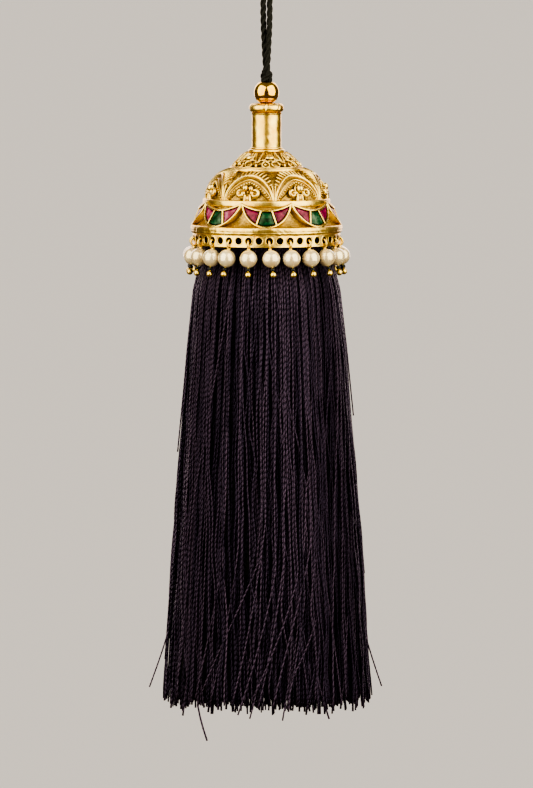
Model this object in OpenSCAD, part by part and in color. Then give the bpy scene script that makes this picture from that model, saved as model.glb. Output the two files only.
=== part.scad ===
// Braid tassel ornament: a gold bell cap with stones and pearl drops over a thread tassel.
// It hangs by a doubled cord. The origin is the inside top of the cord's loop, and the front faces -Y.
// Angles round the bell are measured from the front, positive towards +X.

/* [Cord] */
// Thickness of the cord
cord_d = 1.7; // [1.6:0.05:1.75]
// Width of the knot above the bead
knot_d = 3.7; // [3.6:0.05:3.8]
// Height of the knot
knot_h = 4.2; // [4:0.1:4.4]

/* [Finial bead] */
// Diameter of the polished ball above the neck
bead_d = 7; // [6.8:0.1:7.2]
// Diameter of the hole that the doubled cord runs through
bore_d = 3.7; // [3.6:0.05:3.8]

/* [Bell cap] */
// Diameter over the rim ring, the widest part of the cap
rim_d = 42; // [41.8:0.1:42.4]
// Thickness of the cast wall
wall = 1; // [0.8:0.05:1.05]
// Diameter over the collar at the top
collar_d = 9.7; // [9.4:0.1:10]
// Diameter of the neck tube
neck_d = 8; // [7.8:0.1:8.3]
// Diameter over the ring between the two domes
shoulder_d = 21; // [20.6:0.1:21.4]
// Diameter over the pierced band
band_d = 41; // [40.8:0.1:41.1]
// Thickness of the pierced band
band_t = 0.7; // [0.6:0.05:0.75]
// Diameter of the holes in the band
hole_d = 1.3; // [1.2:0.05:1.4]
// How far the arches stand proud of the dome
arch_relief = 0.75; // [0.5:0.05:0.9]

/* [Crescent settings] */
// Width of the frame round the stones
frame_w = 0.5; // [0.4:0.05:0.6]
// Width of the bars between the stones
divider_w = 0.45; // [0.35:0.05:0.55]
// Depth of the pockets that hold the stones
pocket_depth = 0.6; // [0.5:0.05:0.7]
// Clearance round each stone
stone_gap = 0.06; // [0.04:0.01:0.1]

/* [Pearl drops] */
// Number of pearls, one to every second hole of the band
pearl_count = 22; // [20:1:23]
// Diameter of a pearl
pearl_d = 5; // [4.6:0.1:5.1]
// Diameter of the wire
wire_d = 0.5; // [0.4:0.05:0.5]
// Diameter of the ball that ends each pin
ball_d = 1.6; // [1.4:0.1:1.7]
// Diameter of the black spacer under each pearl
seed_d = 1.4; // [1.2:0.1:1.6]
// How far the tassel pushes the drops outwards, in degrees
drop_lean = 10; // [9:0.5:12]

/* [Tassel] */
// Distance from the hang point to the cut ends
tassel_end = 207.8; // [206:0.1:212]
// Clearance between the tassel's head and the cap
head_gap = 0.3; // [0.25:0.05:0.4]

/* [Hidden] */
$fn = 48;
arc_steps = 6;

// The cord goes up from the knot, round the eye and back down to the knot: [x, y, z]
cord_route = [
    [0.2, -0.9, -31.6], [0.4, -0.8, -28], [0.6, -0.7, -24], [0.8, -0.5, -20],
    [0.9, -0.2, -16], [0.9, 0, -12], [1.2, 0, -9.8], [2, 0, -7.8],
    [2.9, 0, -6], [3.5, 0, -4.4], [3.6, 0, -2.8], [3.3, 0, -1.4],
    [2.5, 0, -0.2], [1.4, 0, 0.6], [0, 0, 0.85],
    [-1.4, 0, 0.6], [-2.5, 0, -0.2], [-3.3, 0, -1.4], [-3.6, 0, -2.8],
    [-3.5, 0, -4.4], [-2.9, 0, -6], [-2, 0, -7.8], [-1.2, 0, -9.8],
    [-0.9, 0, -12], [-0.9, 0.2, -16], [-0.8, 0.5, -20], [-0.6, 0.7, -24],
    [-0.4, 0.8, -28], [-0.2, 0.9, -31.6]
];
cord_sides = 8;

knot_top = -31.6;
knot_base = knot_top - knot_h;
leg_x = (cord_d + 0.04) / 2;

// Levels below are measured from the cap's own top, downwards and negative
bell_top = -41;
bead_gap = 0.06;
bead_z = bell_top + bead_gap + sqrt(pow(bead_d / 2, 2) - pow(bore_d / 2, 2));

collar_h = 2.5;
collar_plate = 1.2;
neck_in_r = 3.2;
neck_foot = -12.4;

// Neck foot rings: [radius over the ring, level, thickness]
foot_rings = [[neck_d / 2 + 0.35, -12.45, 0.6], [neck_d / 2 + 0.95, -13.1, 0.8]];

// Each dome is an arc turned round the axis: [centre radius, centre level]
upper_c = [-1.9, -25.1];
upper_r = 13.5;
main_c = [7.8, -27.2];
main_r = 8.6;
dome_join = -18.9;

shoulder_z = -18.35;
shoulder_t = 1.4;
ledge_r = 17.5;
ledge_z = -27;
ledge_t = 1.4;

// The wall behind the crescents curves the other way, down to the rim
recess_c = [rim_d / 2 + 2.5, -28.3];
recess_r = 6.6;
recess_turn = 61;

rim_t = 1.7;
rim_z = -34.65;
band_top = -35;
band_foot = -39.1;
hole_z = -37.1;
hole_count = 2 * pearl_count;
seam_angle = 14.5;

arch_count = 7;
arch_first = -18.3;
arch_half_w = 6.7;
arch_h = 7.4;
arch_band = 2.1;
arch_base = -27;

// Neighbours stop just short of each other, and the wall behind joins them
arch_sector = 360 / arch_count - 0.4;

leaf_count = 7;
leaf_relief = 0.45;

crescent_count = 8;
crescent_tip_z = -27.3;
crescent_sector = 360 / crescent_count - 0.4;
crescent_half_w = 7.05;
crescent_top_sag = 1.95;
crescent_foot_sag = 6.6;
crescent_face = [[18, -26.9], [rim_d / 2 + 0.2, -34.5]];
wedge_apex = 2.3;
wedge_angle = 17;
stone_drop = 0.15;

pearl_pitch = 360 / pearl_count;
pearl_first = 2.3;
loop_r = 1.15;
loop_at_r = band_d / 2 - band_t / 2;
loop_z = bell_top + hole_z - 1.25;
stem_d = 0.44;
bead_bore_d = 0.7;
pearl_at = 4;
seed_h = 0.9;
seed_at = pearl_at + pearl_d / 2 + 0.1 + seed_h / 2;
ball_at = 8.45;
// Sideways swing of each drop in degrees, in order round the band from the front
drop_swing = [7, 4, 5, 7, 4, 2, -1, 2, 0, -3, 1, 3, 0, -2, 2, -1, 1, -2, 0, 0, -7, 1];

// Outline of the tassel below the cap: [distance below the hang point, radius]
tassel_form = [
    [76, 18.2], [79.5, 18], [86, 18], [88, 19.5], [93, 20.5], [109.7, 22], [123.7, 23], [137.6, 24],
    [151.5, 24.8], [165.4, 25.8], [179.4, 26.6], [193.3, 27.3], [204.4, 28.3]
];

function two_digits(n) = n < 10 ? str("0", n) : str(n);
pearl_names = [for (i = [1:pearl_count]) str("pearl_", two_digits(i))];
pin_names = [for (i = [1:pearl_count]) str("pin_", two_digits(i))];

gold = "#D9A850";
polished_gold = "#F0C870";

// Points along an arc, as [radius, level]
function arc(c, r, from, to, steps = arc_steps) = [
    for (i = [0:steps])
    let (a = from + (to - from) * i / steps)
    [c[0] + r * cos(a), c[1] + r * sin(a)]
];

// The angle at which a circle round c reaches a level or a radius
function angle_at_level(c, r, level) = asin((level - c[1]) / r);
function angle_at_radius(c, r, radius) = acos((radius - c[0]) / r);

function unit(v) = v / norm(v);

// Tube swept along a route: one ring of points at each route point, square to the route
function route_way(route, i) =
    i == 0 ? [0, 0, 1] :
    i == len(route) - 1 ? [0, 0, -1] :
    unit(unit(route[i + 1] - route[i]) + unit(route[i] - route[i - 1]));
function ring(at, way, r, sides) =
    let (across = unit(cross(way, [0, 1, 0])), up = cross(way, across))
    [for (k = [0:sides - 1]) let (a = 360 * k / sides) at + r * (cos(a) * across + sin(a) * up)];
function tube_points(route, r, sides) = [
    for (i = [0:len(route) - 1]) for (p = ring(route[i], route_way(route, i), r, sides)) p
];
function tube_faces(rings, sides) = concat(
    [[for (k = [0:sides - 1]) k]],
    [for (i = [0:rings - 2]) for (k = [0:sides - 1])
        let (a = i * sides + k, b = i * sides + (k + 1) % sides)
        [a, a + sides, b + sides, b]],
    [[for (k = [sides - 1:-1:0]) (rings - 1) * sides + k]]
);

module tube(route, d, sides) {
    polyhedron(tube_points(route, d / 2, sides), tube_faces(len(route), sides), convexity = 6);
}

// A ring of round wire round the axis, half sunk in the wall
module half_round(outer_r, level, thick) {
    rotate_extrude() translate([outer_r - thick / 2, level]) circle(d = thick);
}

// Cut outline of the plain cap, without its relief
module cap_outline() {
    upper_from = angle_at_radius(upper_c, upper_r, neck_d / 2);
    upper_to = angle_at_level(upper_c, upper_r, -18.2);
    main_from = angle_at_level(main_c, main_r, dome_join);
    in_upper_r = upper_r - wall;
    in_main_r = main_r - wall;
    in_recess_r = recess_r + wall;
    band_out = band_d / 2;
    outside = concat(
        [[bore_d / 2, 0], [collar_d / 2 - collar_h / 2, 0], [collar_d / 2 - collar_h / 2, -collar_h]],
        [[neck_d / 2, -collar_h], [neck_d / 2, neck_foot]],
        arc(upper_c, upper_r, upper_from, upper_to),
        arc(main_c, main_r, main_from, 3),
        arc(recess_c, recess_r, 180, 180 + recess_turn),
        [[band_out, band_top], [band_out, band_foot]]
    );
    inside = concat(
        [[band_out - band_t, band_foot], [band_out - band_t, band_top]],
        arc(recess_c, in_recess_r, 175 + recess_turn, 180),
        arc(main_c, in_main_r, 0, angle_at_level(main_c, in_main_r, -19.9)),
        arc(upper_c, in_upper_r, angle_at_level(upper_c, in_upper_r, -18.2),
            angle_at_radius(upper_c, in_upper_r, neck_in_r)),
        [[neck_in_r, -collar_plate], [bore_d / 2, -collar_plate]]
    );
    polygon(concat(outside, inside));
}

// The turned cap, with the seam of each surface between two holes and off every motif
module plain_cap() {
    rotate([0, 0, seam_angle - 90]) {
        rotate_extrude() cap_outline();
        half_round(collar_d / 2, -collar_h / 2, collar_h);
        for (r = foot_rings) half_round(r[0], r[1], r[2]);
        half_round(shoulder_d / 2, shoulder_z, shoulder_t);
        half_round(ledge_r, ledge_z, ledge_t);
        half_round(rim_d / 2, rim_z, rim_t);
    }
}

// The second child, a front-view drawing, cut from the layer that the first child's outline gives.
// The drawing reaches from one distance from the axis to another, and the layer is a sector.
module cut_from_layer(angle, sector, from_r, to_r) {
    rotate([0, 0, angle]) intersection() {
        rotate([0, 0, -90 - sector / 2]) rotate_extrude(angle = sector) children(0);
        translate([0, -from_r, 0]) rotate([90, 0, 0]) linear_extrude(to_r - from_r) children(1);
    }
}

// One arch in front view: a ring cut off at the foot
module arch_drawing() {
    head_z = arch_base + arch_h - arch_half_w;
    difference() {
        translate([0, head_z]) circle(r = arch_half_w);
        translate([0, head_z]) circle(r = arch_half_w - arch_band);
        translate([-10, arch_base - 20]) square([20, 20]);
    }
}

// The flower under each arch in front view: a bud, two curls and a stem
module flower_drawing() {
    translate([0, arch_base + 4.1]) circle(r = 0.8);
    for (side = [-1, 1]) translate([side * 2.1, arch_base + 2.6]) circle(r = 1.15);
    translate([-1.9, arch_base + 2.1]) square([3.8, 1.3]);
    translate([-0.65, arch_base + 0.4]) square([1.3, 3.3]);
}

module arch_and_flower_drawing() {
    arch_drawing();
    flower_drawing();
}

module arch_layer() {
    polygon(concat(
        arc(main_c, main_r + arch_relief, angle_at_level(main_c, main_r + arch_relief, -19), 2),
        arc(main_c, main_r - wall / 3, 2, 70)
    ));
}

module arches() {
    for (i = [0:arch_count - 1]) cut_from_layer(arch_first + i * 360 / arch_count, arch_sector, 7, 18) {
        arch_layer();
        arch_and_flower_drawing();
    }
}

// Two pointed leaves of the upper dome in front view, with a bead between their feet
module leaves_drawing() {
    for (side = [-1, 1])
        polygon([[side * 0.9, -17.2], [side * 2.1, -14.3], [side * 3.1, -17.2], [side * 2, -17.7]]);
    translate([0, -16.9]) circle(r = 0.7);
}

module leaf_layer() {
    polygon(concat(
        arc(upper_c, upper_r + leaf_relief, 58, angle_at_level(upper_c, upper_r + leaf_relief, -18)),
        arc(upper_c, upper_r - wall / 2, 32, 58)
    ));
}

module leaves() {
    for (i = [0:leaf_count - 1]) cut_from_layer(i * 360 / leaf_count, 60, 4, 12) {
        leaf_layer();
        leaves_drawing();
    }
}

// A crescent in front view between two arcs that meet at the tips, drawn smaller by inset
module crescent_drawing(inset) {
    foot_r = (pow(crescent_half_w, 2) + pow(crescent_foot_sag, 2)) / (2 * crescent_foot_sag);
    top_r = (pow(crescent_half_w, 2) + pow(crescent_top_sag, 2)) / (2 * crescent_top_sag);
    difference() {
        translate([0, crescent_tip_z - crescent_foot_sag + foot_r]) circle(r = foot_r - inset);
        translate([0, crescent_tip_z - crescent_top_sag + top_r]) circle(r = top_r + inset);
    }
}

// The middle stone's share of a crescent: a wedge that widens downwards
module wedge_drawing(grow) {
    reach = 12;
    translate([0, crescent_tip_z + wedge_apex + grow / sin(wedge_angle)])
        polygon([[0, 0], [-reach * tan(wedge_angle), -reach], [reach * tan(wedge_angle), -reach]]);
}

module middle_stone_drawing(gap) {
    intersection() {
        crescent_drawing(frame_w + gap);
        wedge_drawing(-divider_w / 2 - gap);
    }
}

module outer_stones_drawing(gap) {
    difference() {
        crescent_drawing(frame_w + gap);
        wedge_drawing(divider_w / 2 + gap);
    }
}

// A layer that follows the crescents' sloping face, from one depth under it to another
module face_layer(from_depth, to_depth) {
    slope = unit(crescent_face[1] - crescent_face[0]);
    inwards = [slope[1], -slope[0]];
    top = crescent_face[0] - slope;
    foot = crescent_face[1] + slope;
    polygon([
        top + inwards * from_depth,
        foot + inwards * from_depth,
        foot + inwards * to_depth,
        top + inwards * to_depth
    ]);
}

// Each crescent is solid from its face back into the recess wall
module crescent_layer() {
    polygon(concat(
        [crescent_face[0], crescent_face[1]],
        arc(recess_c, recess_r + wall / 2, 179 + recess_turn, 180),
        [[16.4, -26.9]]
    ));
}

module crescents() {
    for (i = [0:crescent_count - 1]) cut_from_layer(i * 360 / crescent_count, crescent_sector, 13, 23) {
        crescent_layer();
        crescent_drawing(0);
    }
}

module middle_stones(gap, from_depth, to_depth) {
    for (i = [0:crescent_count - 1]) cut_from_layer(i * 360 / crescent_count, crescent_sector, 14, 23) {
        face_layer(from_depth, to_depth);
        middle_stone_drawing(gap);
    }
}

module outer_stones(gap, from_depth, to_depth) {
    for (i = [0:crescent_count - 1]) cut_from_layer(i * 360 / crescent_count, crescent_sector, 14, 23) {
        face_layer(from_depth, to_depth);
        outer_stones_drawing(gap);
    }
}

module band_holes() {
    for (i = [0:hole_count - 1])
        rotate([0, 0, pearl_first + i * 360 / hole_count])
        translate([0, -band_d / 2 + 3, hole_z])
        rotate([90, 0, 0])
        cylinder(d = hole_d, h = 5);
}

module bell_cap() {
    color(gold) translate([0, 0, bell_top]) difference() {
        union() {
            plain_cap();
            arches();
            leaves();
            crescents();
        }
        middle_stones(0, -1, pocket_depth);
        outer_stones(0, -1, pocket_depth);
        band_holes();
    }
}

module finial_bead() {
    color(polished_gold) translate([0, 0, bead_z]) difference() {
        sphere(d = bead_d);
        translate([0, 0, -bead_d]) cylinder(d = bore_d, h = 2 * bead_d);
    }
}

module rubies() {
    color("#A81E5B") translate([0, 0, bell_top])
        outer_stones(stone_gap, stone_drop, pocket_depth - stone_gap);
}

module emeralds() {
    color("#0B6A44") translate([0, 0, bell_top])
        middle_stones(stone_gap, stone_drop, pocket_depth - stone_gap);
}

// Puts a drop in its hole: its own origin is the middle of the wire loop, and it hangs along -Z
module on_band(i) {
    swing = drop_swing[i % len(drop_swing)];
    rotate([0, 0, pearl_first + i * pearl_pitch])
        translate([0, -loop_at_r, loop_z])
        rotate([0, -swing, 0])
        rotate([-drop_lean, 0, 0])
        children();
}

module pearl() {
    color("#EFE6D6") translate([0, 0, -pearl_at]) difference() {
        sphere(d = pearl_d);
        translate([0, 0, -pearl_d]) cylinder(d = bead_bore_d, h = 2 * pearl_d);
    }
}

module pin() {
    color(gold) union() {
        rotate([0, 90, 0]) rotate_extrude() translate([loop_r, 0]) circle(d = wire_d);
        translate([0, 0, -ball_at]) cylinder(d = stem_d, h = ball_at - loop_r);
        translate([0, 0, -ball_at]) sphere(d = ball_d);
    }
}

module seed() {
    shoulder = 0.2;
    color("#15121A") translate([0, 0, -seed_at]) rotate_extrude() polygon([
        [bead_bore_d / 2, -seed_h / 2], [seed_d / 2 - shoulder, -seed_h / 2],
        [seed_d / 2, shoulder - seed_h / 2], [seed_d / 2, seed_h / 2 - shoulder],
        [seed_d / 2 - shoulder, seed_h / 2], [bead_bore_d / 2, seed_h / 2]
    ]);
}

module seed_beads() {
    for (i = [0:pearl_count - 1]) on_band(i) seed();
}

// The threads' outer form: a bound head that fills the cap, then the free skirt
module tassel() {
    head_upper_r = upper_r - wall - head_gap;
    head_main_r = main_r - wall - head_gap;
    head_r = neck_in_r - head_gap;
    head = concat(
        arc(upper_c, head_upper_r, angle_at_radius(upper_c, head_upper_r, head_r),
            angle_at_level(upper_c, head_upper_r, -18.3)),
        arc(main_c, head_main_r, angle_at_level(main_c, head_main_r, -20.2), 0),
        arc(recess_c, recess_r + wall + head_gap, 180, 225)
    );
    color("#2E2132") rotate_extrude() polygon(concat(
        [[0, bell_top + head[0][1]]],
        [for (p = head) [p[0], bell_top + p[1]]],
        [for (row = tassel_form) [row[1], -row[0]]],
        [[tassel_form[len(tassel_form) - 1][1] - 0.5, -tassel_end], [0, -tassel_end]]
    ));
}

function head_top() =
    let (r = upper_r - wall - head_gap, a = angle_at_radius(upper_c, r, neck_in_r - head_gap))
    bell_top + upper_c[1] + r * sin(a);

module cord_loop() {
    color("#0C0C0C") tube(cord_route, cord_d, cord_sides);
}

module cord_knot() {
    color("#111111") rotate_extrude() polygon([
        [0, knot_top], [1.78, knot_top], [knot_d / 2, knot_top - knot_h * 0.3],
        [knot_d / 2, knot_top - knot_h * 0.55], [1.66, knot_top - knot_h * 0.8], [1.6, knot_base], [0, knot_base]
    ]);
}

// Both legs side by side, from the knot down to the tassel's head
module cord_stem() {
    color("#0C0C0C") translate([0, 0, head_top()]) linear_extrude(knot_base - head_top()) union() {
        for (side = [-1, 1]) translate([side * leg_x, 0]) circle(d = cord_d);
        square([2 * leg_x, 0.6 * cord_d], center = true);
    }
}

bell_cap();
finial_bead();
rubies();
emeralds();
seed_beads();
tassel();
cord_loop();
cord_knot();
cord_stem();
for (i = [0:pearl_count - 1]) on_band(i) pearl();
for (i = [0:pearl_count - 1]) on_band(i) pin();
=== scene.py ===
import math

import bpy
import numpy as np
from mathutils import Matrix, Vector


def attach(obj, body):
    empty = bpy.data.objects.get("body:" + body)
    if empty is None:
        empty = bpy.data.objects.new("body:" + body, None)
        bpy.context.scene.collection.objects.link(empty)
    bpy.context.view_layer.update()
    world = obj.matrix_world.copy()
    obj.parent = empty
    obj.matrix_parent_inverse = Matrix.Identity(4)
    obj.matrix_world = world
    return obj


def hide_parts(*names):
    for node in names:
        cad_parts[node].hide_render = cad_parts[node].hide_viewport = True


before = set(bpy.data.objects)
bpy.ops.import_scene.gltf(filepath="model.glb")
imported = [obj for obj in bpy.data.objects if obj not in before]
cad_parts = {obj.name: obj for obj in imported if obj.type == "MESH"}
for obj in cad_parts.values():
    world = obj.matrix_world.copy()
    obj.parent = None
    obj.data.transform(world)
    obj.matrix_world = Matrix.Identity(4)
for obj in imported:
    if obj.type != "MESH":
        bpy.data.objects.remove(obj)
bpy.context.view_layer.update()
print("frame loaded,", len(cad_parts), "nodes")

# Lengths below are in millimetres and become metres when a mesh is made.
# The origin is where the cord's loop hangs, the front faces -Y, and levels on the cap count from its own top.
mm = 0.001
capTop = -41.0


# Nodes and materials

def toLinear(code):
    rgb = [int(code[i:i + 2], 16) / 255 for i in (1, 3, 5)]
    return tuple(c / 12.92 if c <= 0.04045 else ((c + 0.055) / 1.055) ** 2.4 for c in rgb) + (1.0,)


def feed(node, links):
    # a node that is given as a source stands for its first output
    for key, source in links.items():
        source = source.outputs[0] if isinstance(source, bpy.types.Node) else source
        node.id_data.links.new(source, node.inputs[key])


def addNode(tree, kind, settings=None, links=None):
    node = tree.nodes.new("ShaderNode" + kind)
    for key, value in (settings or {}).items():
        if key == "stops":
            ramp = node.color_ramp
            while len(ramp.elements) < len(value):
                ramp.elements.new(0.5)
            for element, (at, colour) in zip(ramp.elements, value):
                element.position = at
                element.color = toLinear(colour)
        elif isinstance(key, int) or key in node.inputs:
            node.inputs[key].default_value = value
        else:
            setattr(node, key, value)
    feed(node, links or {})
    return node


def newMaterial(name, settings):
    # the last of the four is the object's own coordinates, for its patterns
    material = bpy.data.materials.new(name)
    material.use_nodes = True
    tree = material.node_tree
    tree.nodes.clear()
    shader = addNode(tree, "BsdfPrincipled", settings)
    addNode(tree, "OutputMaterial", None, {"Surface": shader})
    return material, tree, shader, addNode(tree, "TexCoord").outputs["Object"]


def perMetre(sizeInMm):
    # a noise texture's scale for features of this size
    return 1000 / sizeInMm


def goldMaterial(name, look):
    # Gold plate over cast brass: warm yellow, paler where it is rubbed, and brown where marked hollow: partly
    # patina left in the hollows, partly painted shade in creases and recesses
    material, tree, shader, place = newMaterial(name, {"Metallic": 1.0})
    blotch = addNode(tree, "TexNoise", {"Scale": perMetre(look["blotch"]), "Detail": 4.0, "Roughness": 0.6},
                     {"Vector": place})
    grain = addNode(tree, "TexNoise", {"Scale": perMetre(look["grain"]), "Detail": 3.0, "Roughness": 0.65},
                    {"Vector": place})
    plate = addNode(tree, "ValToRGB",
                    {"stops": [(0.32, look["deep"]), (0.52, look["mid"]), (0.72, look["pale"])]},
                    {"Fac": blotch})
    hollow = addNode(tree, "Attribute", {"attribute_name": "hollow"}).outputs["Fac"]
    worn = addNode(tree, "Math", {"operation": "MULTIPLY_ADD", 1: 0.5, 2: -0.25}, {0: grain})
    depth = addNode(tree, "Math", {"operation": "ADD", "use_clamp": True}, {0: hollow, 1: worn})
    cover = addNode(tree, "Math", {"operation": "MULTIPLY", "use_clamp": True}, {0: depth, 1: hollow})
    pits = addNode(tree, "MapRange",
                   {"From Min": 0.36, "From Max": 0.47, "To Min": look["pits"], "To Max": 0.0},
                   {"Value": grain})
    # painted shade and patina: the hollow marks, with the grain's pits, pull the colour to brown
    tarnishAndShade = addNode(tree, "Math", {"operation": "MAXIMUM"}, {0: cover, 1: pits})
    colour = addNode(tree, "Mix", {"data_type": "RGBA", 7: toLinear(look["patinaAndShade"])}, {0: tarnishAndShade, 6: plate})
    smoothest, roughest = look["rough"]
    rough = addNode(tree, "MapRange",
                    {"From Min": 0.3, "From Max": 0.75, "To Min": smoothest, "To Max": roughest},
                    {"Value": grain})
    duller = addNode(tree, "Math", {"operation": "MULTIPLY_ADD", "use_clamp": True, 1: 0.35},
                     {0: cover, 2: rough})
    dents = addNode(tree, "TexNoise", {"Scale": perMetre(look["dent"]), "Detail": 2.0}, {"Vector": place})
    coarse = addNode(tree, "Bump", {"Distance": look["dentDepth"] * mm}, {"Height": dents})
    fine = addNode(tree, "Bump", {"Distance": look["grainDepth"] * mm}, {"Height": grain, "Normal": coarse})
    feed(shader, {"Base Color": colour.outputs[2], "Roughness": duller, "Normal": fine})
    return material


# Meshes

def gridFaces(rows, columns, wrap=False, flip=False):
    i, j = np.meshgrid(np.arange(rows - 1), np.arange(columns if wrap else columns - 1), indexing="ij")
    after = (j + 1) % columns
    quads = np.stack([i * columns + j, i * columns + after, (i + 1) * columns + after,
                      (i + 1) * columns + j], -1).reshape(-1, 4)
    return quads[:, ::-1] if flip else quads


def joinParts(parts):
    points, faces, start = [], {}, 0
    for part in parts:
        own = np.asarray(part[0], float).reshape(-1, 3)
        for block in part[1:]:
            faces.setdefault(block.shape[1], []).append(block + start)
        points.append(own)
        start += len(own)
    return np.concatenate(points), {k: np.concatenate(v) for k, v in faces.items()}


def tubeFaces(count, sides, flip=False):
    # a closed tube of rings: the first and last points of its path come after the rings
    k = np.arange(sides)
    after, base, tip = (k + 1) % sides, (count - 1) * sides, count * sides
    ends = np.concatenate([np.stack([np.full(sides, tip), after, k], -1),
                           np.stack([np.full(sides, tip + 1), base + k, base + after], -1)])
    return gridFaces(count, sides, wrap=True, flip=flip), ends[:, [0, 2, 1]] if flip else ends


def newObject(name, data):
    thing = bpy.data.objects.new(name, data)
    bpy.context.scene.collection.objects.link(thing)
    return thing


def makePiece(name, parts, material, nodes, sharp=None, values=None, uv=None):
    points, faces = joinParts(parts)
    mesh = bpy.data.meshes.new(name)
    blocks = [faces[k] for k in sorted(faces)]
    sizes = np.concatenate([np.full(len(b), b.shape[1]) for b in blocks])
    corners = np.concatenate([b.ravel() for b in blocks])
    mesh.vertices.add(len(points))
    mesh.vertices.foreach_set("co", (points * mm).astype(np.float32).ravel())
    mesh.loops.add(len(corners))
    mesh.loops.foreach_set("vertex_index", corners.astype(np.int32))
    mesh.polygons.add(len(sizes))
    mesh.polygons.foreach_set("loop_start", np.concatenate([[0], np.cumsum(sizes)[:-1]]).astype(np.int32))
    mesh.update(calc_edges=True)
    for key, value in (values or {}).items():
        layer = mesh.attributes.new(key, "FLOAT", "POINT")
        layer.data.foreach_set("value", np.asarray(value, np.float32).ravel())
    if uv is not None:
        layer = mesh.uv_layers.new(name="thread")
        layer.data.foreach_set("uv", np.asarray(uv, np.float32).ravel())
    mesh.validate()
    mesh.polygons.foreach_set("use_smooth", np.ones(len(mesh.polygons), bool))
    if sharp:
        mesh.set_sharp_from_angle(angle=math.radians(sharp))
    mesh.materials.append(material)
    piece = newObject(name, mesh)
    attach(piece, "root")
    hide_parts(*nodes)
    return piece


def unit(v):
    return v / np.maximum(np.linalg.norm(v, axis=-1, keepdims=True), 1e-12)


def roundAbout(radius, angle, level):
    # a point at this distance from the axis, at an angle in degrees from the front
    a = np.radians(angle)
    return np.stack(np.broadcast_arrays(radius * np.sin(a), -radius * np.cos(a), level), -1)


def turned(profile, segments, closed=False):
    # profile goes upwards on the outside: (radius, level)
    profile = np.asarray(profile, float)
    if closed:
        profile = np.concatenate([profile, profile[:1]])
    angles = np.arange(segments) * 360 / segments
    points = roundAbout(profile[:, :1], angles[None, :], profile[:, 1:])
    return points, gridFaces(len(profile), segments, wrap=True)


def arcPoints(centre, radius, start, end, steps):
    a = np.radians(np.linspace(start, end, steps + 1))
    return np.stack([centre[0] + radius * np.cos(a), centre[1] + radius * np.sin(a)], -1)


def walkedAlong(path):
    return np.concatenate([[0], np.cumsum(np.linalg.norm(np.diff(path, axis=0), axis=1))])


def swept(path, normals, halfWidth, halfHeight, sides):
    # an oval tube along a path that lies on a surface, with closed ends
    path, normals = np.asarray(path, float), unit(np.asarray(normals, float))
    along = unit(np.gradient(path, axis=0))
    across = unit(np.cross(along, normals))
    up = np.cross(across, along)
    w, h = (np.broadcast_to(np.asarray(half, float), len(path))[:, None, None]
            for half in (halfWidth, halfHeight))
    a = (np.arange(sides) * 2 * math.pi / sides)[None, :, None]
    rings = path[:, None] + w * np.cos(a) * across[:, None] + h * np.sin(a) * up[:, None]
    points = np.concatenate([rings.reshape(-1, 3), path[:1], path[-1:]])
    return (points,) + tubeFaces(len(path), sides, flip=True)


def unitBall(segments, rings):
    lat = np.radians(-90 + 180 * np.arange(1, rings) / rings)[:, None]
    lon = np.arange(segments) * 2 * math.pi / segments
    body = np.broadcast_arrays(np.cos(lat) * np.cos(lon), np.cos(lat) * np.sin(lon), np.sin(lat))
    points = np.concatenate([np.stack(body, -1).reshape(-1, 3), [[0, 0, -1], [0, 0, 1]]])
    return (points,) + tubeFaces(rings - 1, segments)


def balls(centres, axes, radii, segments=12, rings=8):
    # ovals at many places: axes has three unit vectors for each
    shape, quads, ends = unitBall(segments, rings)
    centres, axes = np.asarray(centres, float), np.asarray(axes, float)
    radii = np.broadcast_to(np.asarray(radii, float), (len(centres), 3))
    points = centres[:, None] + np.einsum("nk,ak,akj->anj", shape, radii, axes)
    starts = (np.arange(len(centres)) * len(shape))[:, None, None]
    return points.reshape(-1, 3), (quads + starts).reshape(-1, 4), (ends + starts).reshape(-1, 3)


def waves(rng, coordinates, lengths, count=5):
    # smooth random ups and downs between about -1 and 1, a few waves of each length
    total = np.zeros(np.broadcast(*coordinates).shape)
    for length in lengths:
        for _ in range(count):
            turn, phase = rng.uniform(0, 2 * math.pi, 2)
            total = total + np.sin((coordinates[0] * math.cos(turn) + coordinates[1] * math.sin(turn))
                                   * 2 * math.pi / length + phase)
    return total / math.sqrt(count * len(lengths))


def smooth(value, low, high):
    t = np.clip((value - low) / (high - low), 0, 1)
    return t * t * (3 - 2 * t)


# Camera

camera = {"distance": 2.6, "elevation": 3.9, "aimLevel": -122.0, "mmPerPixel": 0.2785, "imageHeight": 788,
          "sensor": 36.0}

eye = bpy.data.cameras.new("camera")
eye.sensor_width = camera["sensor"]
eye.lens = camera["distance"] / (camera["mmPerPixel"] * mm) / camera["imageHeight"] * camera["sensor"]
eye.clip_start, eye.clip_end = 0.05, 200
eyeObject = newObject("camera", eye)
lift = math.radians(camera["elevation"])
aim = Vector((0, 0, camera["aimLevel"] * mm))
back = Vector((0, -math.cos(lift), math.sin(lift)))
eyeObject.location = aim + back * camera["distance"]
eyeObject.rotation_mode = "QUATERNION"
eyeObject.rotation_quaternion = (-back).to_track_quat("-Z", "Y")
bpy.context.scene.camera = eyeObject
print("camera placed")


# Cord: three plies laid together, doubled through the cap and tied above the bead

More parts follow.
